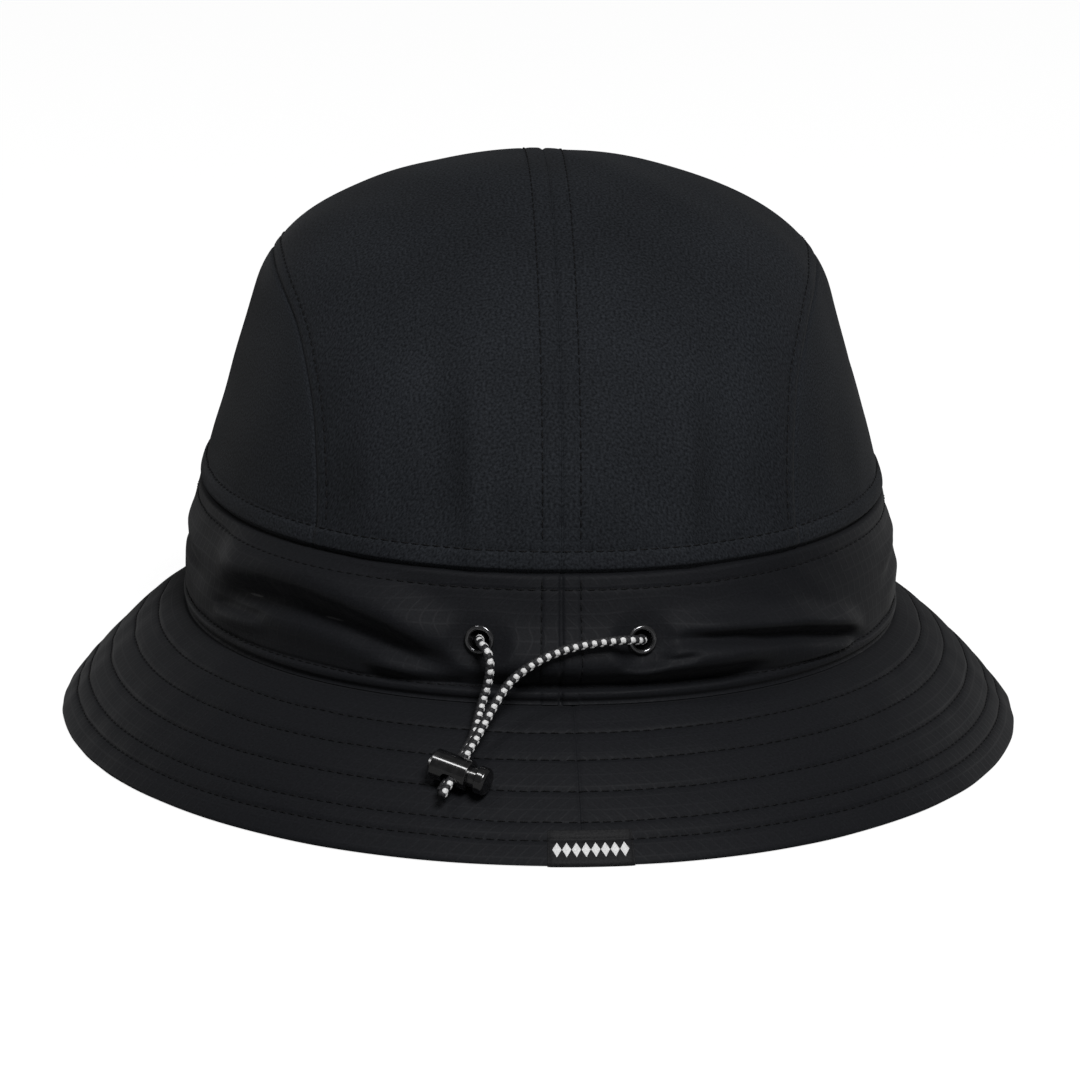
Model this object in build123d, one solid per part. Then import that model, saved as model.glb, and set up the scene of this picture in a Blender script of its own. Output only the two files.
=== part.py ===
from build123d import *
import math
import os

# Bucket hat with a rear drawcord. The origin is the middle of the plane that the brim's edge rests on,
# +Z is up, +Y is the way the wearer faces and +X is the wearer's right. Millimetres and degrees.
# Azimuths are measured from the centre of the back, positive towards +X.

# Driving dimensions: crown and band, outside of the cloth
BRIM_SEAM_Z = 30.0
BAND_TOP_Z = 62.0
CROWN_TOP_Z = 144.0
BAND_HALF_WIDTH = 90.5
BAND_HALF_LENGTH = 104.0
CROWN_HALF_WIDTH = 86.4
CROWN_HALF_LENGTH = 100.0
SIDE_LEAN = 0.285
BACK_LEAN = 0.20
SIDE_ROUNDING_Z = 110.0
BACK_ROUNDING_Z = 78.0
SIDE_ROUNDING = (2.5, 0.60)
BACK_ROUNDING = (2.0, 0.50)
RING_SQUARENESS = 2.1

# Driving dimensions: brim
BRIM_REACH_SIDE = 32.0
BRIM_REACH_BACK = 36.5
BRIM_START_Z = 29.8
BRIM_CROWNING = 2.9
BRIM_BACK_SEAM_AZIMUTH = 1.6
STITCHED_EDGE = 1.03

# Layers, as depths under the outside surface
CLOTH = 0.8
BAND_LAYER = (0.0, 0.9)
CHANNEL_LAYER = (4.35, 4.85)
SWEATBAND_LAYER = (5.2, 6.2)
CARE_LABEL_LAYER = (6.4, 6.8)
TAPE_LAYER = (1.0, 1.4)
BRIM_TOP_LAYER = (0.0, 0.8)
STIFFENER_LAYER = (0.95, 1.75)
BRIM_UNDER_LAYER = (1.9, 2.7)
SEAM_GAP = 0.1

# Arched side panels, seen from the middle of the crown's base: angle of the seam off the mid plane
ARCH_AT_BAND = 38.4
ARCH_RISE = 12.0
ARCH_CORNER = 38.0
TAPE_HALF_ANGLE = 3.2
CENTRE_TAPE_HALF_ANGLE = 3.0

# Band, tunnel, sweatband and care label: heights, and azimuths where they don't run all the way round
BAND_ENDS = (30.7, 61.6)
CHANNEL_HALF_HEIGHT = 6.0
CHANNEL_START = 17.0
SWEATBAND_ENDS = (27, 58)
LABEL_ENDS = (33, 52)
LABEL_AZIMUTHS = (3, 18)

# Brim pieces: reaches where they start and stop short of the stitched edge
BRIM_TOP_START = -0.025
BRIM_UNDER_START = -0.01
STIFFENER_REACHES = (0.02, 0.95)

# Drawcord and eyelets
CORD_DIAMETER = 2.3
CORD_DEPTH = 2.9
CORD_Z = 45.2
EYELET_AZIMUTH = 10.9
EYELET_HOLE_R = 2.4
EYELET_TUBE_R = 2.85
EYELET_RIM_R = 0.6
EYELET_RIM_LIFT = 0.75
EYELET_TUBE_ENDS = (-1.55, 0.75)
EYELET_CURL_R = 3.4
EYELET_CURL = 0.2
EYELET_ROOM = 0.12
WASHER_R = 4.1
WASHER_THICK = 0.3
WASHER_DEPTH = 1.2
TAIL_ROOT_DEPTH = 0.4
TAIL_EXIT_HEIGHT = 3.0

# Spring toggle, in its own frame: u along the barrel, c along the cords and down the brim, n off the brim
LOCK_AZIMUTH = -11.8
LOCK_REACH = 0.56
LOCK_HEIGHT = 4.2
LOCK_TWIST = 18.0
BARREL_R = 3.75
BARREL_ENDS = (-6.1, 4.2)
BARREL_CHAMFER = 0.9
MOUTH_FILLET = 0.3
BORE_R = 2.92
BORE_END = -5.2
PLUNGER_R = 2.85
PLUNGER_END = -2.75
PLUNGER_TRAVEL = 1.8
HEAD_ENDS = (6.3, 9.0)
HEAD_R = 3.4
HEAD_FILLETS = (0.4, 1.0)
NECK_R = 2.5
SLOT_HALF_WIDTH = 2.05
SLOT_HALF_HEIGHT = 2.25
SLOT_CORNER_R = 1.25
SPRING_WIRE = 0.28
SPRING_R = 2.2
SPRING_TURNS = 2.5
SPRING_PLAY = 0.05
CORD_OFFSETS = (0.72, 0.92)
STRAIGHT_ABOVE_LOCK = 10.5

# Tag folded over the brim's back edge
TAG_AZIMUTH = 2.4
TAG_HALF_ANGLE = 4.3
TAG_THICK = 0.3
TAG_START = 0.82
TAG_FOLD_REACHES = (0.85, 1.12)

FIT = 0.01
OUTSIDE_CHECK = Vector(0, 0, -60)
CROWN_EYE = Vector(0, 0, BAND_TOP_Z)


def spread(ends, count):
    """Evenly spaced values from one end to the other."""
    low, high = ends
    return [low + (high - low) * i / (count - 1) for i in range(count)]


def rounded(lean, z, start, rounding):
    """A leaning wall that rounds over to nothing at the crown's top."""
    t = min(max((z - start) / (CROWN_TOP_Z - start), 0.0), 1.0)
    return lean * (1 - t ** rounding[0]) ** rounding[1]


def half_size(z, at_seam, at_band_top, lean, start, rounding):
    """Half width or half length of the crown and band at a height."""
    if z <= BAND_TOP_Z:
        t = (z - BRIM_SEAM_Z) / (BAND_TOP_Z - BRIM_SEAM_Z)
        return at_seam - (at_seam - at_band_top) * t * abs(t)
    return rounded(at_band_top - lean * (z - BAND_TOP_Z), z, start, rounding)


def half_width(z):
    return half_size(z, BAND_HALF_WIDTH, CROWN_HALF_WIDTH, SIDE_LEAN, SIDE_ROUNDING_Z, SIDE_ROUNDING)


def half_length(z):
    return half_size(z, BAND_HALF_LENGTH, CROWN_HALF_LENGTH, BACK_LEAN, BACK_ROUNDING_Z, BACK_ROUNDING)


def on_ring(azimuth, width, length, squareness, z):
    """A point on a slightly squared oval."""
    across = math.sin(math.radians(azimuth))
    along = -math.cos(math.radians(azimuth))
    inside = (abs(across) / width) ** squareness + (abs(along) / length) ** squareness
    r = inside ** (-1 / squareness)
    return Vector(r * across, r * along, z)


def band_surface(azimuth, z):
    return on_ring(azimuth, half_width(z), half_length(z), RING_SQUARENESS, z)


def brim_surface(azimuth, reach):
    """Brim cloth: reach is 0 at the brim seam and 1 at the edge."""
    width = BAND_HALF_WIDTH + BRIM_REACH_SIDE * reach
    length = BAND_HALF_LENGTH + BRIM_REACH_BACK * reach
    squareness = RING_SQUARENESS + (2 - RING_SQUARENESS) * reach
    z = BRIM_START_Z * (1 - reach) + 4 * BRIM_CROWNING * reach * (1 - reach)
    return on_ring(azimuth, width, length, squareness, z)


def crown_hit(direction):
    """Where a ray from the middle of the crown's base meets the crown."""
    low, high = 0.0, 2 * CROWN_TOP_Z
    for _ in range(50):
        middle = (low + high) / 2
        p = CROWN_EYE + direction * middle
        inside = p.Z < CROWN_TOP_Z - 1e-9
        if inside:
            oval = (abs(p.X) / half_width(p.Z)) ** RING_SQUARENESS
            oval += (abs(p.Y) / half_length(p.Z)) ** RING_SQUARENESS
            inside = oval < 1
        if inside:
            low = middle
        else:
            high = middle
    return CROWN_EYE + direction * low


def over_crown(rise, lean):
    """Crown point: rise 0 is the back, 90 the top and 180 the front; lean is towards +X."""
    a, t = math.radians(rise), math.radians(lean)
    return crown_hit(Vector(math.sin(t), -math.cos(t) * math.cos(a), math.cos(t) * math.sin(a)))


def seam_lean(rise):
    """Lean of the arched side seam at a rise."""
    return ARCH_AT_BAND + ARCH_RISE * math.sin(math.radians(rise)) ** 2


def sink(surface, a, b, depth):
    """The surface point at (a, b), moved in by depth along the surface's normal."""
    step = 1e-3
    p = surface(a, b)
    along_a = surface(a + step, b) - surface(a - step, b)
    along_b = surface(a, b + step) - surface(a, b - step)
    n = along_a.cross(along_b).normalized()
    if n.dot(p - OUTSIDE_CHECK) < 0:
        n = n * -1
    return p - n * depth


def outward(surface, a, b):
    return (sink(surface, a, b, -1) - surface(a, b)).normalized()


def sheet(place, layer, u_ends, v_ends, counts):
    """A closed layer of cloth: two fitted faces and the walls between their edges."""
    faces = []
    for depth in layer:
        rows = [[place(u, v, depth) for v in spread(v_ends, counts[1])] for u in spread(u_ends, counts[0])]
        faces.append(Face.make_surface_from_array_of_points(rows, tol=FIT, min_deg=3, max_deg=6))
    walls = []
    for edge in faces[0].edges():
        facing = min(faces[1].edges(), key=lambda other: (other @ 0.5 - edge @ 0.5).length)
        walls.append(Face.make_surface_from_curves(edge, facing))
    return Solid(Shell(faces + walls))


def band_sheet(layer, azimuths, heights, counts):
    return sheet(lambda u, v, d: sink(band_surface, u, v, d), layer, azimuths, heights, counts)


def brim_sheet(layer, azimuths, reaches, counts):
    return sheet(lambda u, v, d: sink(brim_surface, u, v, d), layer, azimuths, reaches, counts)


def above_rest(piece):
    """Trims a piece to the plane that the brim's edge rests on."""
    return split(piece, bisect_by=Plane.XY, keep=Keep.TOP)


def crown_top(side):
    """Half of the strip that runs from the back of the band over the top to its front."""
    gap = math.degrees(SEAM_GAP / CROWN_HALF_LENGTH)

    def place(rise, share, depth):
        lean = gap + (seam_lean(rise) - 2 * gap) * share
        return sink(over_crown, rise, side * lean, depth)

    return sheet(place, (0.0, CLOTH), (0, 180), (0, 1), (61, 17))


def arch_point(side, rise, share):
    """A point of the side arch seen from the crown's base, as fore-aft and up slopes."""
    slope = share / math.tan(math.radians(seam_lean(rise)))
    return -math.cos(math.radians(rise)) * slope, math.sin(math.radians(rise)) * slope


def crown_side(side):
    """An arched side panel: its four edges are the base and three stretches of the arch."""
    shrink = 1 - SEAM_GAP / 60

    def slope_hit(fore, up):
        return crown_hit(Vector(side, fore, up).normalized())

    def place(u, v, depth):
        back = arch_point(side, ARCH_CORNER * v, shrink)
        front = arch_point(side, 180 - ARCH_CORNER * v, shrink)
        over = arch_point(side, ARCH_CORNER + (180 - 2 * ARCH_CORNER) * u, shrink)
        ends = [arch_point(side, r, shrink) for r in (0, 180, ARCH_CORNER, 180 - ARCH_CORNER)]
        fore_up = []
        for i in (0, 1):
            base = ends[0][i] * (1 - u) + ends[1][i] * u
            blend = (1 - u) * back[i] + u * front[i] + (1 - v) * base + v * over[i]
            lower = (1 - v) * ((1 - u) * ends[0][i] + u * ends[1][i])
            upper = v * ((1 - u) * ends[2][i] + u * ends[3][i])
            fore_up.append(blend - lower - upper)
        return sink(slope_hit, fore_up[0], fore_up[1], depth)

    return sheet(place, (0.0, CLOTH), (0, 1), (0, 1), (41, 25))


def centre_tape():
    """The tape under the centre seam."""
    leans = (-CENTRE_TAPE_HALF_ANGLE, CENTRE_TAPE_HALF_ANGLE)
    return sheet(lambda u, v, d: sink(over_crown, u, v, d), TAPE_LAYER, (2, 178), leans, (61, 7))


def side_tape(side):
    def place(rise, off_seam, depth):
        return sink(over_crown, rise, side * (seam_lean(rise) + off_seam), depth)

    return sheet(place, TAPE_LAYER, (3, 177), (-TAPE_HALF_ANGLE, TAPE_HALF_ANGLE), (61, 7))


def frame_on(surface, a, b, height):
    """A plane off a surface, facing outwards."""
    n = outward(surface, a, b)
    level = Vector(0, 0, 1).cross(n)
    return Plane(origin=surface(a, b) + n * height, x_dir=level, z_dir=n)


def eyelet_frame(side):
    return frame_on(band_surface, side * EYELET_AZIMUTH, CORD_Z, 0)


def band():
    """The ripstop ring, closed at the centre-back seam, with a hole for each eyelet."""
    ring = band_sheet(BAND_LAYER, (SEAM_GAP, 360 - SEAM_GAP), BAND_ENDS, (73, 9))
    for side in (-1, 1):
        hole = Cylinder(EYELET_TUBE_R + EYELET_ROOM, 8)
        ring = ring - eyelet_frame(side).location * hole
    return ring


def cord_channel():
    """The strip behind the band that makes the drawcord's tunnel."""
    azimuths = (CHANNEL_START, 360 - CHANNEL_START)
    heights = (CORD_Z - CHANNEL_HALF_HEIGHT, CORD_Z + CHANNEL_HALF_HEIGHT)
    return band_sheet(CHANNEL_LAYER, azimuths, heights, (65, 5))


def sweatband():
    return band_sheet(SWEATBAND_LAYER, (SEAM_GAP, 360 - SEAM_GAP), SWEATBAND_ENDS, (73, 9))


def care_label():
    return band_sheet(CARE_LABEL_LAYER, LABEL_AZIMUTHS, LABEL_ENDS, (9, 7))


def eyelet(side):
    """Rolled rim outside, tube through the cloth, and a curl that holds the washer."""
    inner_end, outer_end = EYELET_TUBE_ENDS
    middle = Pos((EYELET_HOLE_R + EYELET_TUBE_R) / 2, (inner_end + outer_end) / 2)
    rim = Pos(EYELET_HOLE_R + EYELET_RIM_R, EYELET_RIM_LIFT) * Circle(EYELET_RIM_R)
    tube = middle * Rectangle(EYELET_TUBE_R - EYELET_HOLE_R, outer_end - inner_end)
    under = Pos((EYELET_HOLE_R + EYELET_CURL_R) / 2, inner_end + EYELET_CURL / 4)
    curl = under * Rectangle(EYELET_CURL_R - EYELET_HOLE_R, EYELET_CURL)
    profile = Plane.XZ * (rim + tube + curl)
    return eyelet_frame(side).location * revolve(profile, Axis.Z)


def eyelet_washer(side):
    """The flat ring behind the band that the eyelet's curl grips."""
    ring = Cylinder(WASHER_R, WASHER_THICK) - Cylinder(EYELET_TUBE_R + 0.1, 1)
    return eyelet_frame(side).location * (Pos(0, 0, -WASHER_DEPTH) * ring)


def tag_strip(half_angle, layer, height):
    """The bottom of the brim's back edge, up to a height, over the width of the tag."""
    azimuths = (TAG_AZIMUTH - half_angle, TAG_AZIMUTH + half_angle)
    block = brim_sheet(layer, azimuths, TAG_FOLD_REACHES, (7, 7))
    return split(above_rest(block), bisect_by=Plane.XY.offset(height), keep=Keep.BOTTOM)


def tag_pocket():
    """The room that the folded tag takes at the brim's edge."""
    return tag_strip(TAG_HALF_ANGLE + 0.1, (-1.0, 4.0), TAG_THICK + 0.1)


def brim_half(layer, side, inner, outer):
    """One half of a brim cloth, between the back seam and the front seam."""
    gap = math.degrees(SEAM_GAP / BAND_HALF_LENGTH)
    if side > 0:
        azimuths = (BRIM_BACK_SEAM_AZIMUTH + gap, 180 - gap)
    else:
        azimuths = (BRIM_BACK_SEAM_AZIMUTH - gap, gap - 180)
    half = brim_sheet(layer, azimuths, (inner, outer), (37, 9))
    return above_rest(half - tag_pocket())


def brim_stiffener():
    ring = brim_sheet(STIFFENER_LAYER, (SEAM_GAP, 360 - SEAM_GAP), STIFFENER_REACHES, (73, 9))
    return above_rest(ring) - tag_pocket()


def brim_tag():
    """Woven tag: a leaf above the brim, a leaf below it, and the fold between them."""
    azimuths = (TAG_AZIMUTH - TAG_HALF_ANGLE, TAG_AZIMUTH + TAG_HALF_ANGLE)
    above = (-0.05 - TAG_THICK, -0.05)
    below = (BRIM_UNDER_LAYER[1] + 0.05, BRIM_UNDER_LAYER[1] + 0.05 + TAG_THICK)
    leaf = above_rest(brim_sheet(above, azimuths, (TAG_START, STITCHED_EDGE), (7, 7)))
    under = above_rest(brim_sheet(below, azimuths, (TAG_START, STITCHED_EDGE), (7, 7)))
    fold = tag_strip(TAG_HALF_ANGLE, (above[0], below[1]), TAG_THICK)
    return leaf + under + fold


def lock_frame():
    """Directions of the toggle: u along its barrel, c along the cords, n off the brim."""
    n = outward(brim_surface, LOCK_AZIMUTH, LOCK_REACH)
    origin = brim_surface(LOCK_AZIMUTH, LOCK_REACH) + n * LOCK_HEIGHT
    level = Vector(0, 0, 1).cross(n).normalized()
    down = level.cross(n)
    down = down if down.Z < 0 else down * -1
    twist = math.radians(LOCK_TWIST)
    u = level * math.cos(twist) + down * math.sin(twist)
    return Plane(origin=origin, x_dir=u, z_dir=n)


def along_barrel(ends, r):
    """A round bar along the toggle's barrel."""
    return Pos((ends[0] + ends[1]) / 2, 0, 0) * Rot(0, 90, 0) * Cylinder(r, ends[1] - ends[0])


def cross_slot(low, high, length):
    """The rounded slot that the two cords pass through."""
    shape = Plane.XZ * RectangleRounded(high - low, 2 * SLOT_HALF_HEIGHT, SLOT_CORNER_R)
    return Pos((low + high) / 2, 0, 0) * extrude(shape, length / 2, both=True)


def lock_barrel():
    body = along_barrel(BARREL_ENDS, BARREL_R)
    closed_end = body.edges().filter_by(GeomType.CIRCLE).sort_by(Axis.X)[0]
    body = chamfer(closed_end, BARREL_CHAMFER)
    mouth = body.edges().filter_by(GeomType.CIRCLE).sort_by(Axis.X)[-1]
    body = fillet(mouth, MOUTH_FILLET)
    body = body - along_barrel((BORE_END, BARREL_ENDS[1] + 1), BORE_R)
    return body - cross_slot(-SLOT_HALF_WIDTH, SLOT_HALF_WIDTH, 20)


def lock_plunger():
    slot_end = SLOT_HALF_WIDTH + PLUNGER_TRAVEL
    stem = along_barrel((PLUNGER_END, slot_end + 0.3), PLUNGER_R)
    neck = along_barrel((slot_end, HEAD_ENDS[0] + 0.3), NECK_R)
    head = along_barrel(HEAD_ENDS, HEAD_R)
    for end, radius in zip((0, -1), HEAD_FILLETS):
        rim = head.edges().filter_by(GeomType.CIRCLE).sort_by(Axis.X)[end]
        head = fillet(rim, radius)
    return stem - cross_slot(-SLOT_HALF_WIDTH, slot_end, 20) + neck + head


def lock_spring():
    """The coil between the barrel's closed end and the plunger."""
    gap = SPRING_PLAY + SPRING_WIRE / 2
    length = PLUNGER_END - BORE_END - 2 * gap
    coil = Helix(length / SPRING_TURNS, length, SPRING_R)
    wire = sweep(Plane(origin=coil @ 0, z_dir=coil % 0) * Circle(SPRING_WIRE / 2), path=coil)
    return Pos(BORE_END + gap, 0, 0) * Rot(0, 90, 0) * wire


def bend_radii(points):
    """The largest arc at each inner point that leaves room for its neighbours."""
    radii = []
    for before, corner, after in zip(points, points[1:], points[2:]):
        a, b = corner - before, after - corner
        half_turn = math.radians(a.get_angle(b)) / 2
        radii.append(0.45 * min(a.length, b.length) / math.tan(half_turn))
    return radii


def cord(points, radii):
    """A round cord along straight runs joined by tangent arcs."""
    path = FilletPolyline(*points, radius=radii)
    section = Plane(origin=path @ 0, z_dir=path % 0) * Circle(CORD_DIAMETER / 2)
    return sweep(section, path=path), path.length


def tunnel_cord():
    """The drawcord from one eyelet round the front to the other, inside its tunnel."""
    root = [eyelet_frame(side).origin - eyelet_frame(side).z_dir * TAIL_ROOT_DEPTH for side in (-1, 1)]
    turn = [eyelet_frame(side).origin - eyelet_frame(side).z_dir * CORD_DEPTH for side in (-1, 1)]
    azimuths = spread((-CHANNEL_START, CHANNEL_START - 360), 38)
    ring = [sink(band_surface, a, CORD_Z, CORD_DEPTH - 0.3) for a in azimuths]
    points = [root[0], turn[0], *ring, turn[1], root[1]]
    radii = bend_radii(points)
    radii[0] = radii[-1] = CORD_DIAMETER
    return cord(points, radii)


def cord_tail(side, hand_points, tip):
    """A free tail: out of its eyelet, along the points given, then straight through the toggle."""
    exit_frame = eyelet_frame(side)
    lock = lock_frame()
    offset = lock.x_dir * side * CORD_OFFSETS[0] + lock.z_dir * side * CORD_OFFSETS[1]
    down_cord = lock.y_dir * -1
    points = [exit_frame.origin - exit_frame.z_dir * TAIL_ROOT_DEPTH]
    points.append(exit_frame.origin + exit_frame.z_dir * TAIL_EXIT_HEIGHT)
    points += [Vector(*p) for p in hand_points]
    points.append(lock.origin + offset - down_cord * STRAIGHT_ABOVE_LOCK)
    points.append(lock.origin + offset + down_cord * tip)
    radii = bend_radii(points)
    print("route", [tuple(round(v, 1) for v in p) for p in points])
    print("radii", [round(r, 1) for r in radii])
    return cord(points, radii)


# Routes of the two tails between the eyelets and the toggle
LEFT_ROUTE = [(-17.8, -108.0, 44.0), (-17.2, -109.0, 40.2), (-17.9, -108.6, 35.6), (-19.3, -109.4, 31.6)]
RIGHT_ROUTE = [
    (16.4, -107.6, 46.9),
    (10.6, -108.2, 46.6),
    (3.4, -108.9, 45.7),
    (-3.6, -109.9, 43.6),
    (-9.6, -111.0, 40.2),
    (-14.2, -112.4, 36.2),
]


def main():
    os.makedirs("parts", exist_ok=True)
    lock = lock_frame().location
    drawcord, drawcord_length = tunnel_cord()
    left_tail, left_length = cord_tail(-1, LEFT_ROUTE, 6.2)
    right_tail, right_length = cord_tail(1, RIGHT_ROUTE, 8.3)
    cords = ((drawcord, drawcord_length), (left_tail, left_length), (right_tail, right_length))
    section = math.pi * (CORD_DIAMETER / 2) ** 2
    for piece, length in cords:
        print("cord length", round(length, 2), "volume over section", round(piece.volume / section, 2))
    plane = lock_frame()
    print("toggle origin", plane.origin, "u", plane.x_dir, "c", plane.y_dir * -1, "n", plane.z_dir)
    nodes = {
        "crown_top_left": crown_top(-1),
        "crown_top_right": crown_top(1),
        "crown_side_left": crown_side(-1),
        "crown_side_right": crown_side(1),
        "seam_tape_centre": centre_tape(),
        "seam_tape_left": side_tape(-1),
        "seam_tape_right": side_tape(1),
        "band": band(),
        "cord_channel": cord_channel(),
        "sweatband": sweatband(),
        "care_label": care_label(),
        "brim_top_left": brim_half(BRIM_TOP_LAYER, -1, BRIM_TOP_START, STITCHED_EDGE),
        "brim_top_right": brim_half(BRIM_TOP_LAYER, 1, BRIM_TOP_START, STITCHED_EDGE),
        "brim_stiffener": brim_stiffener(),
        "brim_under_left": brim_half(BRIM_UNDER_LAYER, -1, BRIM_UNDER_START, STITCHED_EDGE),
        "brim_under_right": brim_half(BRIM_UNDER_LAYER, 1, BRIM_UNDER_START, STITCHED_EDGE),
        "brim_tag": brim_tag(),
        "eyelet_left": eyelet(-1),
        "eyelet_right": eyelet(1),
        "eyelet_washer_left": eyelet_washer(-1),
        "eyelet_washer_right": eyelet_washer(1),
        "drawcord": drawcord,
        "cord_tail_left": left_tail,
        "cord_tail_right": right_tail,
        "lock_barrel": lock * lock_barrel(),
        "lock_plunger": lock * lock_plunger(),
        "lock_spring": lock * lock_spring(),
    }
    for name, piece in nodes.items():
        export_step(piece, f"parts/{name}.step")


main()
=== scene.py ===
# %% [markdown]
# # A bucket hat with a rear drawcord
# The real hat is about 145 mm tall and 280 mm from front to back. It is sewn from two cloths: a soft
# matte one for the crown, and a crisp ripstop for the band and the brim. Hidden parts such as the
# sweatband, the seam tapes and the brim's stiffening layer are modelled too, because the hat is seen
# from below as well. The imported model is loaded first, and every piece is then built in its frame.

import math

import bpy
import numpy as np
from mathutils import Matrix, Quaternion, Vector


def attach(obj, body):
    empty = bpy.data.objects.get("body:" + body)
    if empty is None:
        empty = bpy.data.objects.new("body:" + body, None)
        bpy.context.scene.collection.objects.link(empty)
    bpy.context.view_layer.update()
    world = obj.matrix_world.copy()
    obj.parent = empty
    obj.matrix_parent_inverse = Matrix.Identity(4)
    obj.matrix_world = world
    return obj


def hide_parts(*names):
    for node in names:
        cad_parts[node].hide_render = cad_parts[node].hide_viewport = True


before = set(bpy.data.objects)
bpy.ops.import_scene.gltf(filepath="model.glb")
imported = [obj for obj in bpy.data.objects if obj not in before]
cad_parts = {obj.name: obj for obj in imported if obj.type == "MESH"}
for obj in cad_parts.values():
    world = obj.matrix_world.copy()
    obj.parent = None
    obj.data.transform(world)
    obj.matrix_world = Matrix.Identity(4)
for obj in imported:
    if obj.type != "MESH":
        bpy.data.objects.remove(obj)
stage = bpy.context.scene
MM = 0.001
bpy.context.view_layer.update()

# %% [markdown]
# ## The camera
# The hat is seen from behind, a little from above, by a long lens that keeps its outline calm. The
# camera stands on a sphere round the crown, and it is aimed at the middle of the whole hat. A small
# roll follows the way the hat leans.

# %% Camera
CAMERA_AZIMUTH = math.radians(-3.0)
CAMERA_ELEVATION = math.radians(13.25)
CAMERA_ROLL = math.radians(0.74)
CAMERA_DISTANCE = 1.6
LENS_MM, SENSOR_MM = 209.4, 36
CROWN_MIDDLE = Vector((0, 0, 75 * MM))
LOOK_AT = Vector((-0.4 * MM, -6.9 * MM, 45.7 * MM))

camera_back = Vector((
    math.sin(CAMERA_AZIMUTH) * math.cos(CAMERA_ELEVATION),
    -math.cos(CAMERA_AZIMUTH) * math.cos(CAMERA_ELEVATION),
    math.sin(CAMERA_ELEVATION),
))


def shown(name, data):
    """A new object in the scene."""
    made = bpy.data.objects.new(name, data)
    stage.collection.objects.link(made)
    return made


def aimed(name, data, place):
    """A camera or a lamp that looks at the middle of the hat."""
    made = shown(name, data)
    made.location = place
    made.rotation_mode = "QUATERNION"
    made.rotation_quaternion = (LOOK_AT - made.location).to_track_quat("-Z", "Y")
    return made


lens = bpy.data.cameras.new("view_camera")
lens.sensor_width, lens.lens = SENSOR_MM, LENS_MM
camera = aimed("view_camera", lens, CROWN_MIDDLE + camera_back * CAMERA_DISTANCE)
camera.rotation_quaternion = camera.rotation_quaternion @ Quaternion((0, 0, 1), CAMERA_ROLL)
stage.camera = camera
print("camera at", tuple(round(v, 3) for v in camera.location))

# %% [markdown]
# ## The light
# Black cloth shows its shape only through soft light, so a pale world fills the shadows and four area
# lamps do the rest. The key lamp is behind the hat on the right, at a middling height, so that folds
# that face down stay dark. A smaller one stands high on the left, where the toggle and the eyelets
# mirror it. One more at each side draws a thin paler edge along the crown. The floor is a plain pale
# sheet. It glows for the camera alone, so that it throws little light up into the folds.

# %% World, lamps and floor
WORLD_FILL = 0.1
WHITE = (1, 1, 1, 1)


def set_inputs(node, values):
    """Sets a node's inputs by their names."""
    for label, value in values.items():
        node.inputs[label].default_value = value


world = bpy.data.worlds.new("pale_studio")
stage.world = world
world.use_nodes = True
set_inputs(world.node_tree.nodes["Background"], {"Color": WHITE, "Strength": WORLD_FILL})


def area_lamp(name, place, size, power):
    """A square soft lamp that looks at the middle of the hat."""
    data = bpy.data.lights.new(name, "AREA")
    data.size, data.energy = size, power
    aimed(name, data, place)


# Each lamp: its name, its place and side in metres, and its power in watts
area_lamp("key_lamp", (0.32, -1.42, 1.4), 0.6, 29)
area_lamp("glint_lamp", (-0.6, -0.54, 1.33), 0.22, 2.6)
area_lamp("left_lamp", (-1.3, 1.1, 0.25), 0.36, 1.3)
area_lamp("right_lamp", (1.3, 1.1, 0.25), 0.36, 1.7)

FLOOR_HALF = 6.0
FLOOR_Z = -0.0002
FLOOR_GLOW = 0.9
FLOOR_GREY = (0.25, 0.25, 0.25, 1)
floor_mesh = bpy.data.meshes.new("pale_floor")
corners = [(x * FLOOR_HALF, y * FLOOR_HALF, FLOOR_Z) for x, y in ((-1, -1), (1, -1), (1, 1), (-1, 1))]
floor_mesh.from_pydata(corners, [], [(0, 1, 2, 3)])
floor = shown("pale_floor", floor_mesh)
floor_paint = bpy.data.materials.new("pale_floor")
floor_paint.use_nodes = True
floor_shader = floor_paint.node_tree.nodes["Principled BSDF"]
set_inputs(floor_shader, {"Base Color": FLOOR_GREY, "Emission Color": WHITE})
set_inputs(floor_shader, {"Roughness": 0.9, "Specular IOR Level": 0.1})
seen_directly = floor_paint.node_tree.nodes.new("ShaderNodeLightPath").outputs["Is Camera Ray"]
glow = floor_paint.node_tree.nodes.new("ShaderNodeMath")
glow.operation = "MULTIPLY"
glow.inputs[1].default_value = FLOOR_GLOW
floor_paint.node_tree.links.new(seen_directly, glow.inputs[0])
floor_paint.node_tree.links.new(glow.outputs[0], floor_shader.inputs["Emission Strength"])
floor_mesh.materials.append(floor_paint)
stage.view_settings.view_transform = "Standard"
print("stage set")

# %% [markdown]
# ## The hat's surfaces
# A hatter shapes cloth over a block. Here the block is a formula: each height has a half width and a
# half length, and a slightly squared oval joins them. The band and the brim are measured by azimuth,
# which starts at the centre of the back and grows towards the wearer's right. The crown is measured by
# rays from the middle of its base: the rise goes from the back over the top, and the lean is sideways.
# Everything here is in millimetres, with whole arrays at once, because the meshes are dense.

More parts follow.
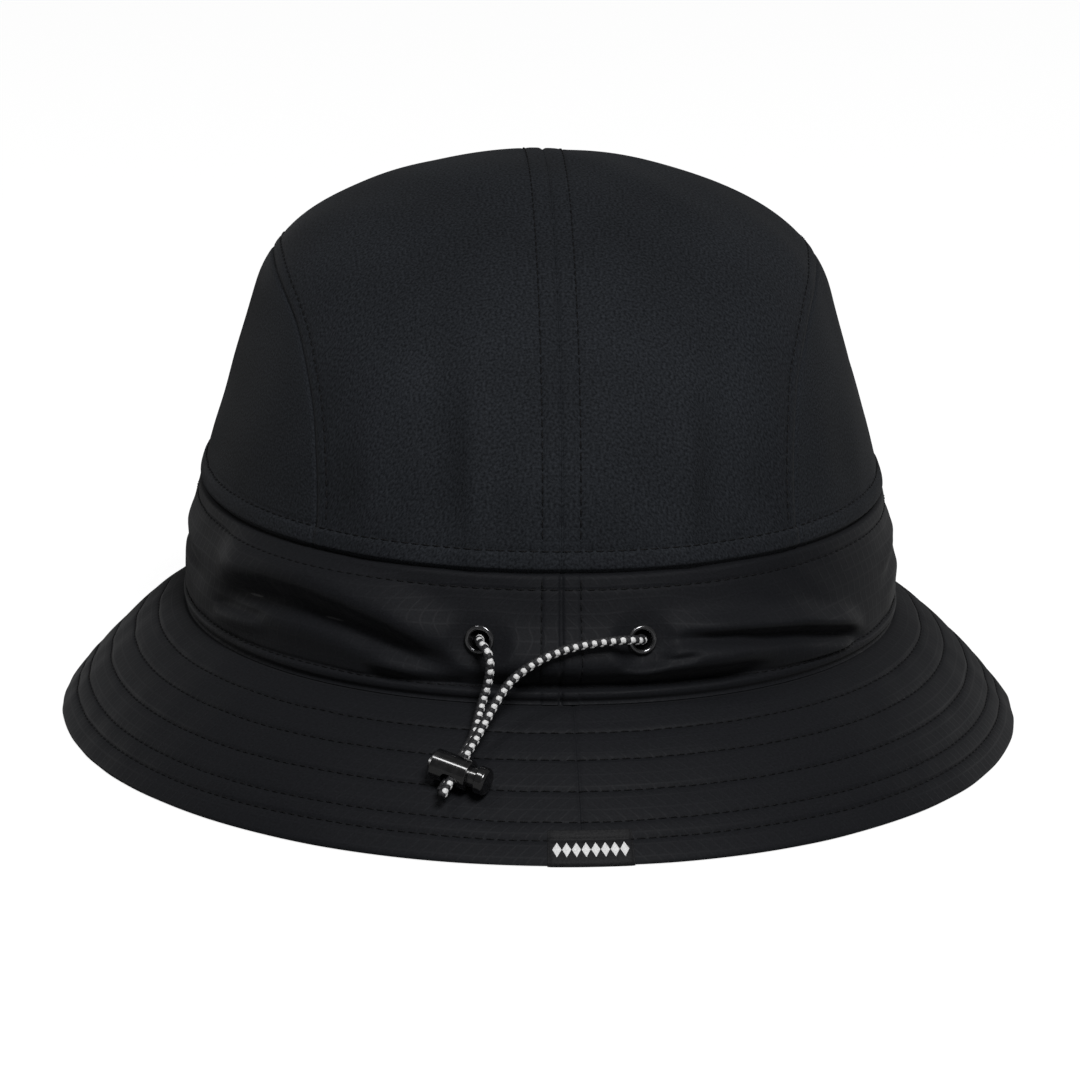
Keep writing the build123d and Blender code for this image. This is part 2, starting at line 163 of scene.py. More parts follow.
# %% The block
BRIM_SEAM_Z = 30.0
BAND_TOP_Z = 62.0
CROWN_TOP_Z = 144.0
RING_SQUARENESS = 2.1
WIDTH = {"seam": 90.5, "band_top": 86.4, "lean": 0.285, "start": 110.0, "rounding": (2.5, 0.60)}
LENGTH = {"seam": 104.0, "band_top": 100.0, "lean": 0.20, "start": 78.0, "rounding": (2.0, 0.50)}
BRIM_REACH = {"side": 32.0, "back": 36.5}
BRIM_START_Z = 29.8
BRIM_CROWNING = 2.9
CROWN_EYE = np.array([0, 0, BAND_TOP_Z])
INSIDE_POINT = np.array([0, 0, -60.0])


def unit(vectors):
    """Vectors scaled to length 1."""
    return vectors / np.linalg.norm(vectors, axis=-1, keepdims=True)


def grid_of(a, b):
    """Every pairing of two lists of values."""
    return np.meshgrid(a, b, indexing="ij")


def half_size(z, side):
    """Half width or half length at each height."""
    t = (z - BRIM_SEAM_Z) / (BAND_TOP_Z - BRIM_SEAM_Z)
    below = side["seam"] - (side["seam"] - side["band_top"]) * t * np.abs(t)
    up = np.clip((z - side["start"]) / (CROWN_TOP_Z - side["start"]), 0, 1)
    power, root = side["rounding"]
    above = (side["band_top"] - side["lean"] * (z - BAND_TOP_Z)) * (1 - up**power) ** root
    return np.where(z <= BAND_TOP_Z, below, above)


def on_ring(azimuth, width, length, squareness, z):
    """Points on a slightly squared oval."""
    across, along = np.sin(np.radians(azimuth)), -np.cos(np.radians(azimuth))
    total = (np.abs(across) / width) ** squareness + (np.abs(along) / length) ** squareness
    r = total ** (-1 / squareness)
    return np.stack([r * across, r * along, z + 0 * r], -1)


def band_surface(azimuth, z):
    return on_ring(azimuth, half_size(z, WIDTH), half_size(z, LENGTH), RING_SQUARENESS, z)


def brim_surface(azimuth, reach):
    """The brim's upper face: reach is 0 at the seam and 1 at the edge."""
    squareness = RING_SQUARENESS + (2 - RING_SQUARENESS) * reach
    z = BRIM_START_Z * (1 - reach) + 4 * BRIM_CROWNING * reach * (1 - reach)
    width = WIDTH["seam"] + BRIM_REACH["side"] * reach
    length = LENGTH["seam"] + BRIM_REACH["back"] * reach
    return on_ring(azimuth, width, length, squareness, z)


def crown_hit(direction):
    """Where rays from the middle of the crown's base meet the crown, by halving."""
    direction = unit(direction)
    low, high = np.zeros(direction.shape[:-1]), np.full(direction.shape[:-1], 2 * CROWN_TOP_Z)
    for _ in range(42):
        middle = (low + high) / 2
        x, y, z = np.moveaxis(CROWN_EYE + direction * middle[..., None], -1, 0)
        safe = np.minimum(z, CROWN_TOP_Z - 1e-6)
        oval = (np.abs(x) / half_size(safe, WIDTH)) ** RING_SQUARENESS
        oval = oval + (np.abs(y) / half_size(safe, LENGTH)) ** RING_SQUARENESS
        inside = (oval < 1) & (z < CROWN_TOP_Z - 1e-6)
        low, high = np.where(inside, middle, low), np.where(inside, high, middle)
    return CROWN_EYE + direction * low[..., None]


def over_crown(rise, lean):
    a, t = np.radians(rise), np.radians(lean)
    return crown_hit(np.stack([np.sin(t), -np.cos(t) * np.cos(a), np.cos(t) * np.sin(a)], -1))


def lifted(surface, a, b, height=0.0):
    """Surface points moved out by a height, and the outward directions there."""
    step = 2e-3
    p = surface(a, b)
    along_a = surface(a + step, b) - surface(a - step, b)
    along_b = surface(a, b + step) - surface(a, b - step)
    n = unit(np.cross(along_a, along_b))
    n *= np.sign(np.sum(n * (p - INSIDE_POINT), -1, keepdims=True))
    return p + n * np.asarray(height)[..., None], n


print("crown top at", np.round(over_crown(np.array(90.0), np.array(0.0)), 1))

# %% [markdown]
# ## Cloth meshes
# A piece of cloth is a grid of points on its outside, the same grid moved in by the cloth's thickness,
# and a rim that joins the two. Its texture coordinates are real distances in metres along the cloth,
# so a weave has the same size on every piece. Grid lines are crowded near seams, where cloth turns
# quickly, and sparse elsewhere.

# %% Grids
CLOTH = 0.8


def bell(distance, width):
    """A smooth bump, 1 in its middle."""
    return np.exp(-((distance / width) ** 2))


def crowded(start, stop, wide, narrow, spots, reach):
    """Values from start to stop, narrow apart near the spots and wide apart elsewhere."""
    x = np.linspace(start, stop, 4000)
    density = np.full(x.shape, 1 / wide)
    for spot in spots:
        density = np.maximum(density, bell(x - spot, reach) / narrow)
    steps = np.concatenate([[0], np.cumsum((density[1:] + density[:-1]) / 2 * np.diff(x))])
    return np.interp(np.linspace(0, steps[-1], int(math.ceil(steps[-1])) + 1), steps, x)


def cloth_lengths(points):
    """Distances along both directions of a grid of points, from its middle line."""
    rows, cols = points.shape[0] // 2, points.shape[1] // 2
    down = np.linalg.norm(np.diff(points, axis=0), axis=-1)
    across = np.linalg.norm(np.diff(points, axis=1), axis=-1)
    u = np.concatenate([np.zeros((1, points.shape[1])), np.cumsum(down, 0)])
    v = np.concatenate([np.zeros((points.shape[0], 1)), np.cumsum(across, 1)], 1)
    return np.stack([u - u[rows], v - v[:, cols : cols + 1]], -1)


def cells_of(index):
    """The corners of each cell in a grid of point numbers."""
    corners = (index[:-1, :-1], index[1:, :-1], index[1:, 1:], index[:-1, 1:])
    return np.stack(corners, -1).reshape(-1, 4)


def tube_cells(index):
    """The corners of each cell in a grid whose rows are closed rings."""
    following = np.roll(index, -1, 1)
    return np.stack([index[:-1], following[:-1], following[1:], index[1:]], -1).reshape(-1, 4)


def distance_along(path):
    """How far along a path each of its points is."""
    return np.concatenate([[0], np.cumsum(np.linalg.norm(np.diff(path, axis=0), axis=-1))])


def read_at(at, length, values):
    """Places or directions read off a path at given distances along it."""
    return np.stack([np.interp(at, length, values[:, i]) for i in range(3)], -1)


def mesh_object(name, points, faces, uv=None, slots=None):
    """An object from points in millimetres and four-cornered faces."""
    mesh = bpy.data.meshes.new(name)
    mesh.vertices.add(len(points))
    mesh.vertices.foreach_set("co", (points * MM).astype(np.float32).ravel())
    mesh.loops.add(faces.size)
    mesh.loops.foreach_set("vertex_index", faces.astype(np.int32).ravel())
    mesh.polygons.add(len(faces))
    mesh.polygons.foreach_set("loop_start", np.arange(0, faces.size, 4, dtype=np.int32))
    mesh.polygons.foreach_set("use_smooth", np.ones(len(faces), bool))
    if slots is not None:
        mesh.polygons.foreach_set("material_index", slots.astype(np.int32))
    if uv is not None:
        layer = mesh.uv_layers.new(name="cloth_metres")
        layer.data.foreach_set("uv", (uv[faces] * MM).astype(np.float32).ravel())
    mesh.update(calc_edges=True)
    return shown(name, mesh)


def cloth_piece(name, outside, inside, keep=None):
    """A closed layer between two grids of points of the same size. keep says which cells are cloth."""
    rows, cols = outside.shape[:2]
    count = rows * cols
    index = np.arange(count).reshape(rows, cols)
    face = cells_of(index)
    if keep is not None:
        face = face[keep.ravel()]
    rim = np.concatenate([index[0], index[1:, -1], index[-1, -2::-1], index[-2:0:-1, 0]])
    following = np.roll(rim, -1)
    wall = np.stack([rim, following, following + count, rim + count], -1)
    faces = np.concatenate([face, face[:, ::-1] + count, wall[:, ::-1]])
    points = np.concatenate([outside.reshape(-1, 3), inside.reshape(-1, 3)])
    a, b, c, d = points[face].transpose(1, 0, 2)
    facing = np.sum(np.cross(c - a, d - b) * (points[face].mean(1) - points[face + count].mean(1)))
    if facing < 0:
        faces = faces[:, ::-1]
    uv = np.tile(cloth_lengths(outside).reshape(-1, 2), (2, 1))
    return mesh_object(name, points, faces, uv)


def dress(piece, slot, material, *nodes):
    """Gives a piece its finish, the hat as the body it moves with, and the nodes it stands for."""
    for m in material if isinstance(material, (list, tuple)) else [material]:
        piece.data.materials.append(m)
    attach(piece, "hat")
    if nodes:
        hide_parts(*nodes)
    print(piece.name, len(piece.data.vertices), "points")


# %% [markdown]
# ## Node groups for cloth
# Two effects come back in several finishes. Ripstop has thicker threads in a grid of small squares,
# and a matte face has a fine speckle where fibres catch the light. Each is a node group that reads
# distances along the cloth and puts out masks, so that each finish can use it with its own sizes.

# %% Node helpers
def socket_in(tree, socket, value):
    """Links a socket to an input, or sets the input's value."""
    if isinstance(value, bpy.types.NodeSocket):
        tree.links.new(value, socket)
    elif value is not None:
        socket.default_value = value


def math_step(tree, operation, *values):
    node = tree.nodes.new("ShaderNodeMath")
    node.operation = operation
    for socket, value in zip(node.inputs, values):
        socket_in(tree, socket, value)
    return node.outputs[0]


def speckle(tree, vector, scale, detail):
    """Fine soft noise from 0 to 1."""
    node = tree.nodes.new("ShaderNodeTexNoise")
    socket_in(tree, node.inputs["Vector"], vector)
    socket_in(tree, node.inputs["Scale"], scale)
    node.inputs["Detail"].default_value = detail
    return node.outputs["Fac"]


def shaped(tree, value, low, high):
    """A value stretched from a span to 0 and 1, and held between them."""
    node = tree.nodes.new("ShaderNodeMapRange")
    for socket, number in zip(node.inputs, (value, low, high)):
        socket_in(tree, socket, number)
    return node.outputs["Result"]


def group_of(name, inputs, outputs):
    """An empty shader node group with named sockets, and its two end nodes."""
    group = bpy.data.node_groups.new(name, "ShaderNodeTree")
    for label, kind, value in inputs:
        socket = group.interface.new_socket(name=label, in_out="INPUT", socket_type=kind)
        if value is not None:
            socket.default_value = value
    for label in outputs:
        group.interface.new_socket(name=label, in_out="OUTPUT", socket_type="NodeSocketFloat")
    return group, group.nodes.new("NodeGroupInput").outputs, group.nodes.new("NodeGroupOutput").inputs


# %% Ripstop group
VECTOR, NUMBER = "NodeSocketVector", "NodeSocketFloat"
ripstop, given, put = group_of(
    "ripstop_grid",
    [("Vector", VECTOR, None), ("Square", NUMBER, 0.0033), ("Line", NUMBER, 0.16)],
    ["Lines", "Threads"],
)
parts = ripstop.nodes.new("ShaderNodeSeparateXYZ")
ripstop.links.new(given["Vector"], parts.inputs[0])
lines, threads = [], []
for axis in (0, 1):
    cell = math_step(ripstop, "DIVIDE", parts.outputs[axis], given["Square"])
    share = math_step(ripstop, "FRACT", cell)
    away = math_step(ripstop, "ABSOLUTE", math_step(ripstop, "SUBTRACT", share, 0.5))
    from_line = math_step(ripstop, "SUBTRACT", 0.5, away)
    lines.append(shaped(ripstop, from_line, given["Line"], 0.0))
    turns = math_step(ripstop, "MULTIPLY", cell, 2 * math.pi * 6)
    threads.append(math_step(ripstop, "SINE", turns))
ripstop.links.new(math_step(ripstop, "MAXIMUM", *lines), put["Lines"])
crossing = math_step(ripstop, "MULTIPLY", *threads)
ripstop.links.new(math_step(ripstop, "MULTIPLY_ADD", crossing, 0.5, 0.5), put["Threads"])
print("group", ripstop.name)

# %% Matte fibre group
fibres, given, put = group_of(
    "matte_fibres",
    [("Vector", VECTOR, None), ("Grains", NUMBER, 1500.0), ("Clouds", NUMBER, 28.0)],
    ["Grain", "Cloud"],
)
fine = speckle(fibres, given["Vector"], given["Grains"], 3)
broad = speckle(fibres, given["Vector"], given["Clouds"], 2)
fibres.links.new(shaped(fibres, fine, 0.32, 0.72), put["Grain"])
fibres.links.new(shaped(fibres, broad, 0.3, 0.7), put["Cloud"])
print("group", fibres.name)

# %% [markdown]
# ## Cloth finishes
# Both outside cloths are nearly black, and what tells them apart is their surface. The crown's cloth is
# brushed: a soft speckle, a little blue, no shine. The ripstop is flatter and crisper, with its grid
# just paler than its ground. A low sheen at grazing angles stands for loose fibres.

# %% Cloth finishes
def colour_mix(tree, share, first, second):
    node = tree.nodes.new("ShaderNodeMix")
    node.data_type = "RGBA"
    socket_in(tree, node.inputs["Factor"], share)
    set_inputs(node, {"A": (*first, 1), "B": (*second, 1)})
    return node.outputs["Result"]


def new_finish(name, roughness, specular=0.5, metallic=0.0, coat=0.0, sheen=0.0):
    """A material with a plain Principled shader, whose even values sit on its own sockets."""
    material = bpy.data.materials.new(name)
    material.use_nodes = True
    shader = material.node_tree.nodes["Principled BSDF"]
    set_inputs(shader, {"Roughness": roughness, "Specular IOR Level": specular, "Metallic": metallic})
    set_inputs(shader, {"Coat Weight": coat, "Coat Roughness": 0.08})
    set_inputs(shader, {"Sheen Weight": sheen, "Sheen Roughness": 0.45})
    return material, material.node_tree, shader


def raise_by(tree, shader, height, depth, strength):
    """Feeds a height into the shader's normal."""
    bump = tree.nodes.new("ShaderNodeBump")
    set_inputs(bump, {"Strength": strength, "Distance": depth})
    socket_in(tree, bump.inputs["Height"], height)
    tree.links.new(bump.outputs["Normal"], shader.inputs["Normal"])


def cloth_coordinates(tree):
    return tree.nodes.new("ShaderNodeUVMap").outputs["UV"]


def placed_group(tree, group, vector, **values):
    node = tree.nodes.new("ShaderNodeGroup")
    node.node_tree = group
    tree.links.new(vector, node.inputs["Vector"])
    set_inputs(node, values)
    return node.outputs


def matte_cloth(name, ground, grain, roughness, depth, sheen, grains):
    """A brushed cloth with a speckle of paler fibres."""
    material, tree, shader = new_finish(name, roughness, 0.1, sheen=sheen)
    masks = placed_group(tree, fibres, cloth_coordinates(tree), Grains=grains)
    colour = colour_mix(tree, masks["Grain"], ground, grain)
    cloudy = math_step(tree, "MULTIPLY_ADD", masks["Cloud"], 0.3, 0.85)
    bright = tree.nodes.new("ShaderNodeHueSaturation")
    tree.links.new(cloudy, bright.inputs["Value"])
    tree.links.new(colour, bright.inputs["Color"])
    tree.links.new(bright.outputs[0], shader.inputs["Base Color"])
    raise_by(tree, shader, masks["Grain"], depth, 0.6)
    return material


def grid_cloth(name, ground, line, roughness, square):
    """Ripstop: a fine weave with a grid of thicker threads."""
    material, tree, shader = new_finish(name, roughness, 0.14, sheen=0.04)
    where = cloth_coordinates(tree)
    grid = placed_group(tree, ripstop, where, Square=square, Line=0.13)
    masks = placed_group(tree, fibres, where, Grains=1900.0)
    raised = math_step(tree, "MULTIPLY", grid["Lines"], 0.08)
    woven = math_step(tree, "MULTIPLY_ADD", masks["Grain"], 0.6, raised)
    tree.links.new(colour_mix(tree, woven, ground, line), shader.inputs["Base Color"])
    rough = math_step(tree, "MULTIPLY_ADD", grid["Lines"], -0.10, roughness)
    tree.links.new(rough, shader.inputs["Roughness"])
    height = math_step(tree, "MULTIPLY_ADD", grid["Threads"], 0.35, grid["Lines"])
    raise_by(tree, shader, height, 0.00005, 0.5)
    return material


# Each matte cloth: colours of its ground and its grain, roughness, bump in metres, sheen, grains per metre
MATTE_CLOTHS = {
    "brushed_crown_cloth": ((0.0054, 0.0062, 0.0078), (0.0222, 0.025, 0.0298), 0.85, 0.00007, 0.03, 1500.0),
    "binding_tape": ((0.010, 0.010, 0.011), (0.028, 0.028, 0.031), 0.8, 0.0001, 0.1, 900.0),
    "sweatband_knit": ((0.012, 0.012, 0.013), (0.035, 0.035, 0.038), 0.92, 0.0002, 0.12, 700.0),
    "interlining_felt": ((0.02, 0.02, 0.02), (0.05, 0.05, 0.05), 0.95, 0.0002, 0.2, 600.0),
    "care_label_satin": ((0.55, 0.55, 0.54), (0.66, 0.66, 0.65), 0.5, 0.00005, 0.1, 1200.0),
    "woven_tag_satin": ((0.006, 0.006, 0.007), (0.014, 0.014, 0.015), 0.55, 0.00006, 0.1, 1700.0),
}
matte_finishes = [matte_cloth(name, *values) for name, values in MATTE_CLOTHS.items()]
CROWN_FINISH, TAPE_FINISH, SWEAT_FINISH, LINING_FINISH, LABEL_FINISH, TAG_FINISH = matte_finishes
RIPSTOP_DARK, RIPSTOP_LIGHT = (0.0048, 0.0052, 0.0066), (0.0118, 0.0126, 0.0156)
RIPSTOP_FINISH = grid_cloth("black_ripstop", RIPSTOP_DARK, RIPSTOP_LIGHT, 0.7, 0.0033)
print(len(bpy.data.materials), "finishes so far")

# %% [markdown]
# ## Thread, cord, metal and plastic
# Sewing thread and the braid's two yarns are slightly glossy filament. The eyelets are black plated
# metal, and the toggle is moulded black plastic that takes a sharp highlight. These pieces have no
# cloth coordinates, so their patterns follow the place in space, which stays with the piece.

# %% Hard and thread finishes
def place_in_space(tree):
    return tree.nodes.new("ShaderNodeTexCoord").outputs["Object"]


def yarn(name, dark, light, roughness, scale=2600.0, specular=0.4):
    """Filament yarn, streaked by its own strands."""
    material, tree, shader = new_finish(name, roughness, specular)
    streaks = speckle(tree, place_in_space(tree), scale, 2)
    share = shaped(tree, streaks, 0.35, 0.65)
    tree.links.new(colour_mix(tree, share, dark, light), shader.inputs["Base Color"])
    raise_by(tree, shader, share, 0.00008, 0.6)
    return material


def moulded(name, colour, scuffed, roughness, metallic=0.0, coat=0.0):
    """Plated metal or moulded plastic with faint wear in its gloss."""
    material, tree, shader = new_finish(name, roughness, metallic=metallic, coat=coat)
    where = place_in_space(tree)
    wear = shaped(tree, speckle(tree, where, 420.0, 4), 0.45, 0.75)
    tree.links.new(colour_mix(tree, wear, colour, scuffed), shader.inputs["Base Color"])
    gloss = math_step(tree, "MULTIPLY_ADD", wear, 0.14, roughness)
    tree.links.new(gloss, shader.inputs["Roughness"])
    raise_by(tree, shader, speckle(tree, where, 1800.0, 2), 0.00002, 0.35)
    return material


THREAD_FINISH = yarn("sewing_thread", (0.003, 0.003, 0.0035), (0.009, 0.009, 0.010), 0.6, specular=0.12)
BRAID_BLACK = yarn("braid_black_yarn", (0.005, 0.005, 0.006), (0.022, 0.022, 0.025), 0.6)
BRAID_WHITE = yarn("braid_white_yarn", (0.62, 0.62, 0.62), (0.86, 0.86, 0.86), 0.5)
MARK_FINISH = yarn("white_woven_yarn", (0.62, 0.62, 0.62), (0.85, 0.85, 0.85), 0.55, 3400.0)
PLATED, PLATED_WORN = (0.10, 0.10, 0.105), (0.16, 0.16, 0.165)
EYELET_FINISH = moulded("black_plated_metal", PLATED, PLATED_WORN, 0.14, 0.9, 0.6)
PLASTIC, PLASTIC_WORN = (0.003, 0.003, 0.0035), (0.008, 0.008, 0.009)
PLASTIC_FINISH = moulded("black_moulded_plastic", PLASTIC, PLASTIC_WORN, 0.24, 0.0, 1.0)
SPRING_FINISH = moulded("spring_steel", (0.55, 0.55, 0.57), (0.42, 0.42, 0.43), 0.22, 1.0)
print(len(bpy.data.materials), "finishes in all")

# %% [markdown]
# ## Relief
# Sewing pulls cloth in along each seam and lifts it beside the seam, where turned-in edges lie
# underneath. These small profiles are added together on every piece: a groove along a line, a welt
# between two lines, and a fold that hangs over a crease. All heights are millimetres outwards.

# %% Profiles
WAVES = 6
MM_PER_DEGREE = 1.76


def groove(distance, depth, width):
    """A smooth channel along a line."""
    return -depth * bell(distance, width)


def plateau(distance, start, stop, height, edge):
    """A raised strip between two distances, with soft edges."""
    rise = 1 / (1 + np.exp(-(distance - start) / edge))
    return height * (rise - 1 / (1 + np.exp(-(distance - stop) / edge)))


def window(value, start, stop, edge):
    """1 between two values and 0 outside them, with a smooth change over the edge."""
    rise = np.clip((value - start) / edge, 0, 1)
    fall = np.clip((stop - value) / edge, 0, 1)
    return (rise * rise * (3 - 2 * rise)) * (fall * fall * (3 - 2 * fall))


def ripple(a, b, seed, size):
    """Slow uneven waves, the same on every run."""
    dice = np.random.default_rng(seed)
    total = 0
    for _ in range(WAVES):
        angle, phase = dice.uniform(0, math.pi), dice.uniform(0, 2 * math.pi)
        span = size * dice.uniform(0.7, 1.5)
        total = total + np.sin((a * math.cos(angle) + b * math.sin(angle)) / span + phase)
    return total / WAVES


def ring_spot(azimuth, radius):
    """Rough place on a ring round the hat, which closes up on itself after a whole turn."""
    turn = np.radians(azimuth)
    return radius * np.sin(turn), -1.1 * radius * np.cos(turn)


print("profiles ready; one degree at the back is", MM_PER_DEGREE, "mm")

# %% [markdown]
# ## The stitches
# A lockstitch shows as a row of short threads, each of which dives into the cloth at both ends. One
# thread is built as a small spindle, and copies of it are laid along a path at an even pitch. They are
# real thread rather than a drawn pattern, so they catch the light as thread does.

# %% Stitch rows
STITCH_PITCH = 2.7
STITCH_SHARE = 0.8
THREAD_R = 0.17
INNER_THREAD_R = 0.22
THREAD_PROUD = 0.16
NEARBY = 0.4


def spindle():
    """One stitch along x: across its length it rises out of the cloth and dives back."""
    along = np.array([-0.5, -0.36, -0.12, 0.12, 0.36, 0.5])
    thick = np.array([0.35, 0.85, 1.0, 1.0, 0.85, 0.35])
    lift = np.array([-1.3, -0.2, 0.25, 0.25, -0.2, -1.3])
    turn = np.linspace(0, 2 * math.pi, 7)[:-1]
    ring = np.stack([0 * turn, np.cos(turn), np.sin(turn)], -1)
    points = ring[None] * thick[:, None, None]
    points[..., 2] += lift[:, None]
    rows, cols = len(along), len(turn)
    faces = tube_cells(np.arange(rows * cols).reshape(rows, cols))
    lids = [(0, 5, 4, 1), (1, 4, 3, 2), (30, 31, 34, 35), (31, 32, 33, 34)]
    return along, points.reshape(-1, 3), np.concatenate([faces, np.array(lids)]), cols


SPINDLE_ALONG, SPINDLE_ROUND, SPINDLE_FACES, SPINDLE_SIDES = spindle()


def laid_stitches(path, normal, radius):
    """Points and faces of stitches along a path."""
    length = distance_along(path)
    count = max(int(length[-1] / STITCH_PITCH), 1)
    at = (np.arange(count) + 0.5) * length[-1] / count
    x = unit(read_at(at + NEARBY, length, path) - read_at(at - NEARBY, length, path))
    z = read_at(at, length, normal)
    y = unit(np.cross(z, x))
    stretch = np.repeat(SPINDLE_ALONG, SPINDLE_SIDES) * STITCH_PITCH * STITCH_SHARE
    local = SPINDLE_ROUND * radius
    points = (
        read_at(at, length, path)[:, None]
        + x[:, None] * (stretch + local[:, 0])[None, :, None]
        + y[:, None] * local[None, :, 1, None]
        + z[:, None] * local[None, :, 2, None]
    )
    faces = SPINDLE_FACES[None] + (np.arange(count) * len(local))[:, None, None]
    return points.reshape(-1, 3), faces.reshape(-1, 4)


def stitch_piece(name, rows, slot, radius=THREAD_R):
    """One object from several stitch rows, each a (path, normals) pair."""
    points, faces, total = [], [], 0
    for path, normal in rows:
        p, f = laid_stitches(path, normal, radius)
        points.append(p)
        faces.append(f + total)
        total += len(p)
    made = mesh_object(name, np.concatenate(points), np.concatenate(faces))
    dress(made, slot, THREAD_FINISH)


print("one stitch has", len(SPINDLE_ROUND), "points")

# %% [markdown]
# ## The crown
# Two top panels run from the back over the head to the front, and two arched panels close the sides.
# The relief is worked out from a point's place alone, so panels that meet at a seam agree there. The
# centre seam has a row of stitches on each side, the side seams have one row, and the crown's lower
# edge is turned up and stitched, which leaves a raised welt. Soft upright wrinkles, fainter in front,
# stand above it.

# %% Crown relief
ARCH_AT_BAND, ARCH_RISE, ARCH_CORNER = 38.4, 12.0, 38.0
SEAM_ROW, SIDE_ROW, BASE_ROW = 4.6, 3.6, 4.4
FRONT_WRINKLES, REAR_WRINKLES = 0.5, 2.1
# Wrinkles: middle in x, height of the middle, half width, half height, rise of the cloth
WRINKLES = [
    (-21, 84, 3.4, 20, 0.85),
    (-30, 92, 5.0, 22, -0.55),
    (31, 82, 3.6, 20, 0.85),
    (41, 90, 5.2, 22, -0.55),
    (-46, 78, 4.0, 16, 0.45),
    (11, 92, 6.0, 18, 0.35),
    (54, 76, 4.2, 16, 0.45),
    (-9, 76, 4.4, 12, 0.3),
]


def seam_lean(rise):
    return ARCH_AT_BAND + ARCH_RISE * np.sin(np.radians(rise)) ** 2


def crown_relief(p):
    """Height of the crown's cloth over the block, for points of the block."""
    out = p - CROWN_EYE
    r = np.linalg.norm(out, axis=-1)
    lean = np.degrees(np.arcsin(np.clip(np.abs(out[..., 0]) / r, 0, 1)))
    rise = np.degrees(np.arctan2(out[..., 2], -out[..., 1]))
    centre = np.radians(lean) * r
    off_seam = np.radians(lean - seam_lean(rise)) * r
    up = out[..., 2]
    h = groove(centre, 0.42, 0.55) + plateau(centre, 0.3, SEAM_ROW, 0.1, 0.3)
    h += groove(centre - SEAM_ROW, 0.22, 0.6)
    h += groove(off_seam, 0.5, 0.6) + plateau(-off_seam, 0.3, SIDE_ROW, 0.12, 0.3)
    h += groove(off_seam + SIDE_ROW, 0.2, 0.6)
    h += plateau(up, 0.0, BASE_ROW, 0.6, 0.3) + groove(up - BASE_ROW, 0.4, 0.7)
    h += 0.2 * bell(up - BASE_ROW, 2.0) * ripple(p[..., 0], p[..., 1], 36, 1.6)
    h -= 1.5 * np.clip((0.2 - up) / 1.0, 0, 1.2)
    x, y, z = np.moveaxis(p, -1, 0)
    for middle, height, wide, tall, gain in WRINKLES:
        side = np.where(y < 0, x - middle, x + middle * 0.8)
        strength = np.where(y < 0, REAR_WRINKLES, FRONT_WRINKLES)
        h += strength * gain * np.exp(-((side / wide) ** 2) - ((z - height) / tall) ** 2)
    above_welt = np.clip((up - BASE_ROW) / 10, 0, 1)
    return h + above_welt * (0.8 * ripple(x, z * 0.5 + y * 0.7, 3, 9.0) + 0.45 * ripple(x + y, z, 5, 4.5))


# %% Crown panels
BESIDE = 2.5
EDGE_MM = crowded(0.02, 9.0, 0.9, 0.26, (0.3, SEAM_ROW), 0.9)
BASE_MM = crowded(-1.5, 12.0, 1.0, 0.26, (-1.0, 0.3, BASE_ROW), 1.1)


def on_crown(surface, a, b, *offsets):
    """Points at each height over the crown's outer cloth, then the outward directions there."""
    base, n = lifted(surface, a, b)
    h = crown_relief(base)
    return *[base + n * (h + offset)[..., None] for offset in offsets], n


def crown_piece(name, surface, a, b):
    """A panel of the crown in its own cloth."""
    outside, inside, _ = on_crown(surface, a, b, 0, -CLOTH)
    dress(cloth_piece(f"{name}_cloth", outside, inside), "crown_cloth", CROWN_FINISH, name)


def eye_distance(rise, lean):
    """How far the crown is from the middle of its base, in one direction."""
    return np.linalg.norm(over_crown(rise, lean) - CROWN_EYE, axis=-1)


def crown_top_grid(side):
    """Rise and lean of a top panel's grid, with lines at even distances from its edges."""
    lower = np.degrees(np.arcsin(BASE_MM / 100.0))
    upper = np.linspace(lower[-1], 180 - lower[-1], 190)[1:-1]
    rise = np.concatenate([lower, upper, 180 - lower[::-1]])
    eye_centre = eye_distance(rise, rise * 0 + BESIDE)
    eye_seam = eye_distance(rise, seam_lean(rise) - BESIDE)
    from_centre = np.degrees(EDGE_MM[None] / eye_centre[:, None])
    from_seam = seam_lean(rise)[:, None] - np.degrees(EDGE_MM[None, ::-1] / eye_seam[:, None])
    share = np.linspace(0, 1, 44)[None, 1:-1]
    between = from_centre[:, -1:] + (from_seam[:, :1] - from_centre[:, -1:]) * share
    lean = np.concatenate([from_centre, between, from_seam], 1) * side
    return np.broadcast_to(rise[:, None], lean.shape), lean


def arch_point(rise, share=0.9998):
    slope = share / np.tan(np.radians(seam_lean(rise)))
    return np.stack([-np.cos(np.radians(rise)) * slope, np.sin(np.radians(rise)) * slope], -1)


def crown_side_grid():
    """Fore-aft and up slopes over a side panel, blended between its base and its arch."""
    u = crowded(0, 1, 0.011, 0.0028, (0, 1), 0.02)[:, None, None]
    v = crowded(-0.02, 1, 0.013, 0.004, (0, 0.09, 1), 0.02)[None, :, None]
    back = arch_point(ARCH_CORNER * v[..., 0])
    front = arch_point(180 - ARCH_CORNER * v[..., 0])
    over = arch_point(ARCH_CORNER + (180 - 2 * ARCH_CORNER) * u[..., 0])
    ends = [arch_point(np.array(float(r))) for r in (0, 180, ARCH_CORNER, 180 - ARCH_CORNER)]
    base = ends[0] * (1 - u) + ends[1] * u
    blend = (1 - u) * back + u * front + (1 - v) * base + v * over
    blend = blend - (1 - v) * base - v * ((1 - u) * ends[2] + u * ends[3])
    return blend[..., 0], blend[..., 1]


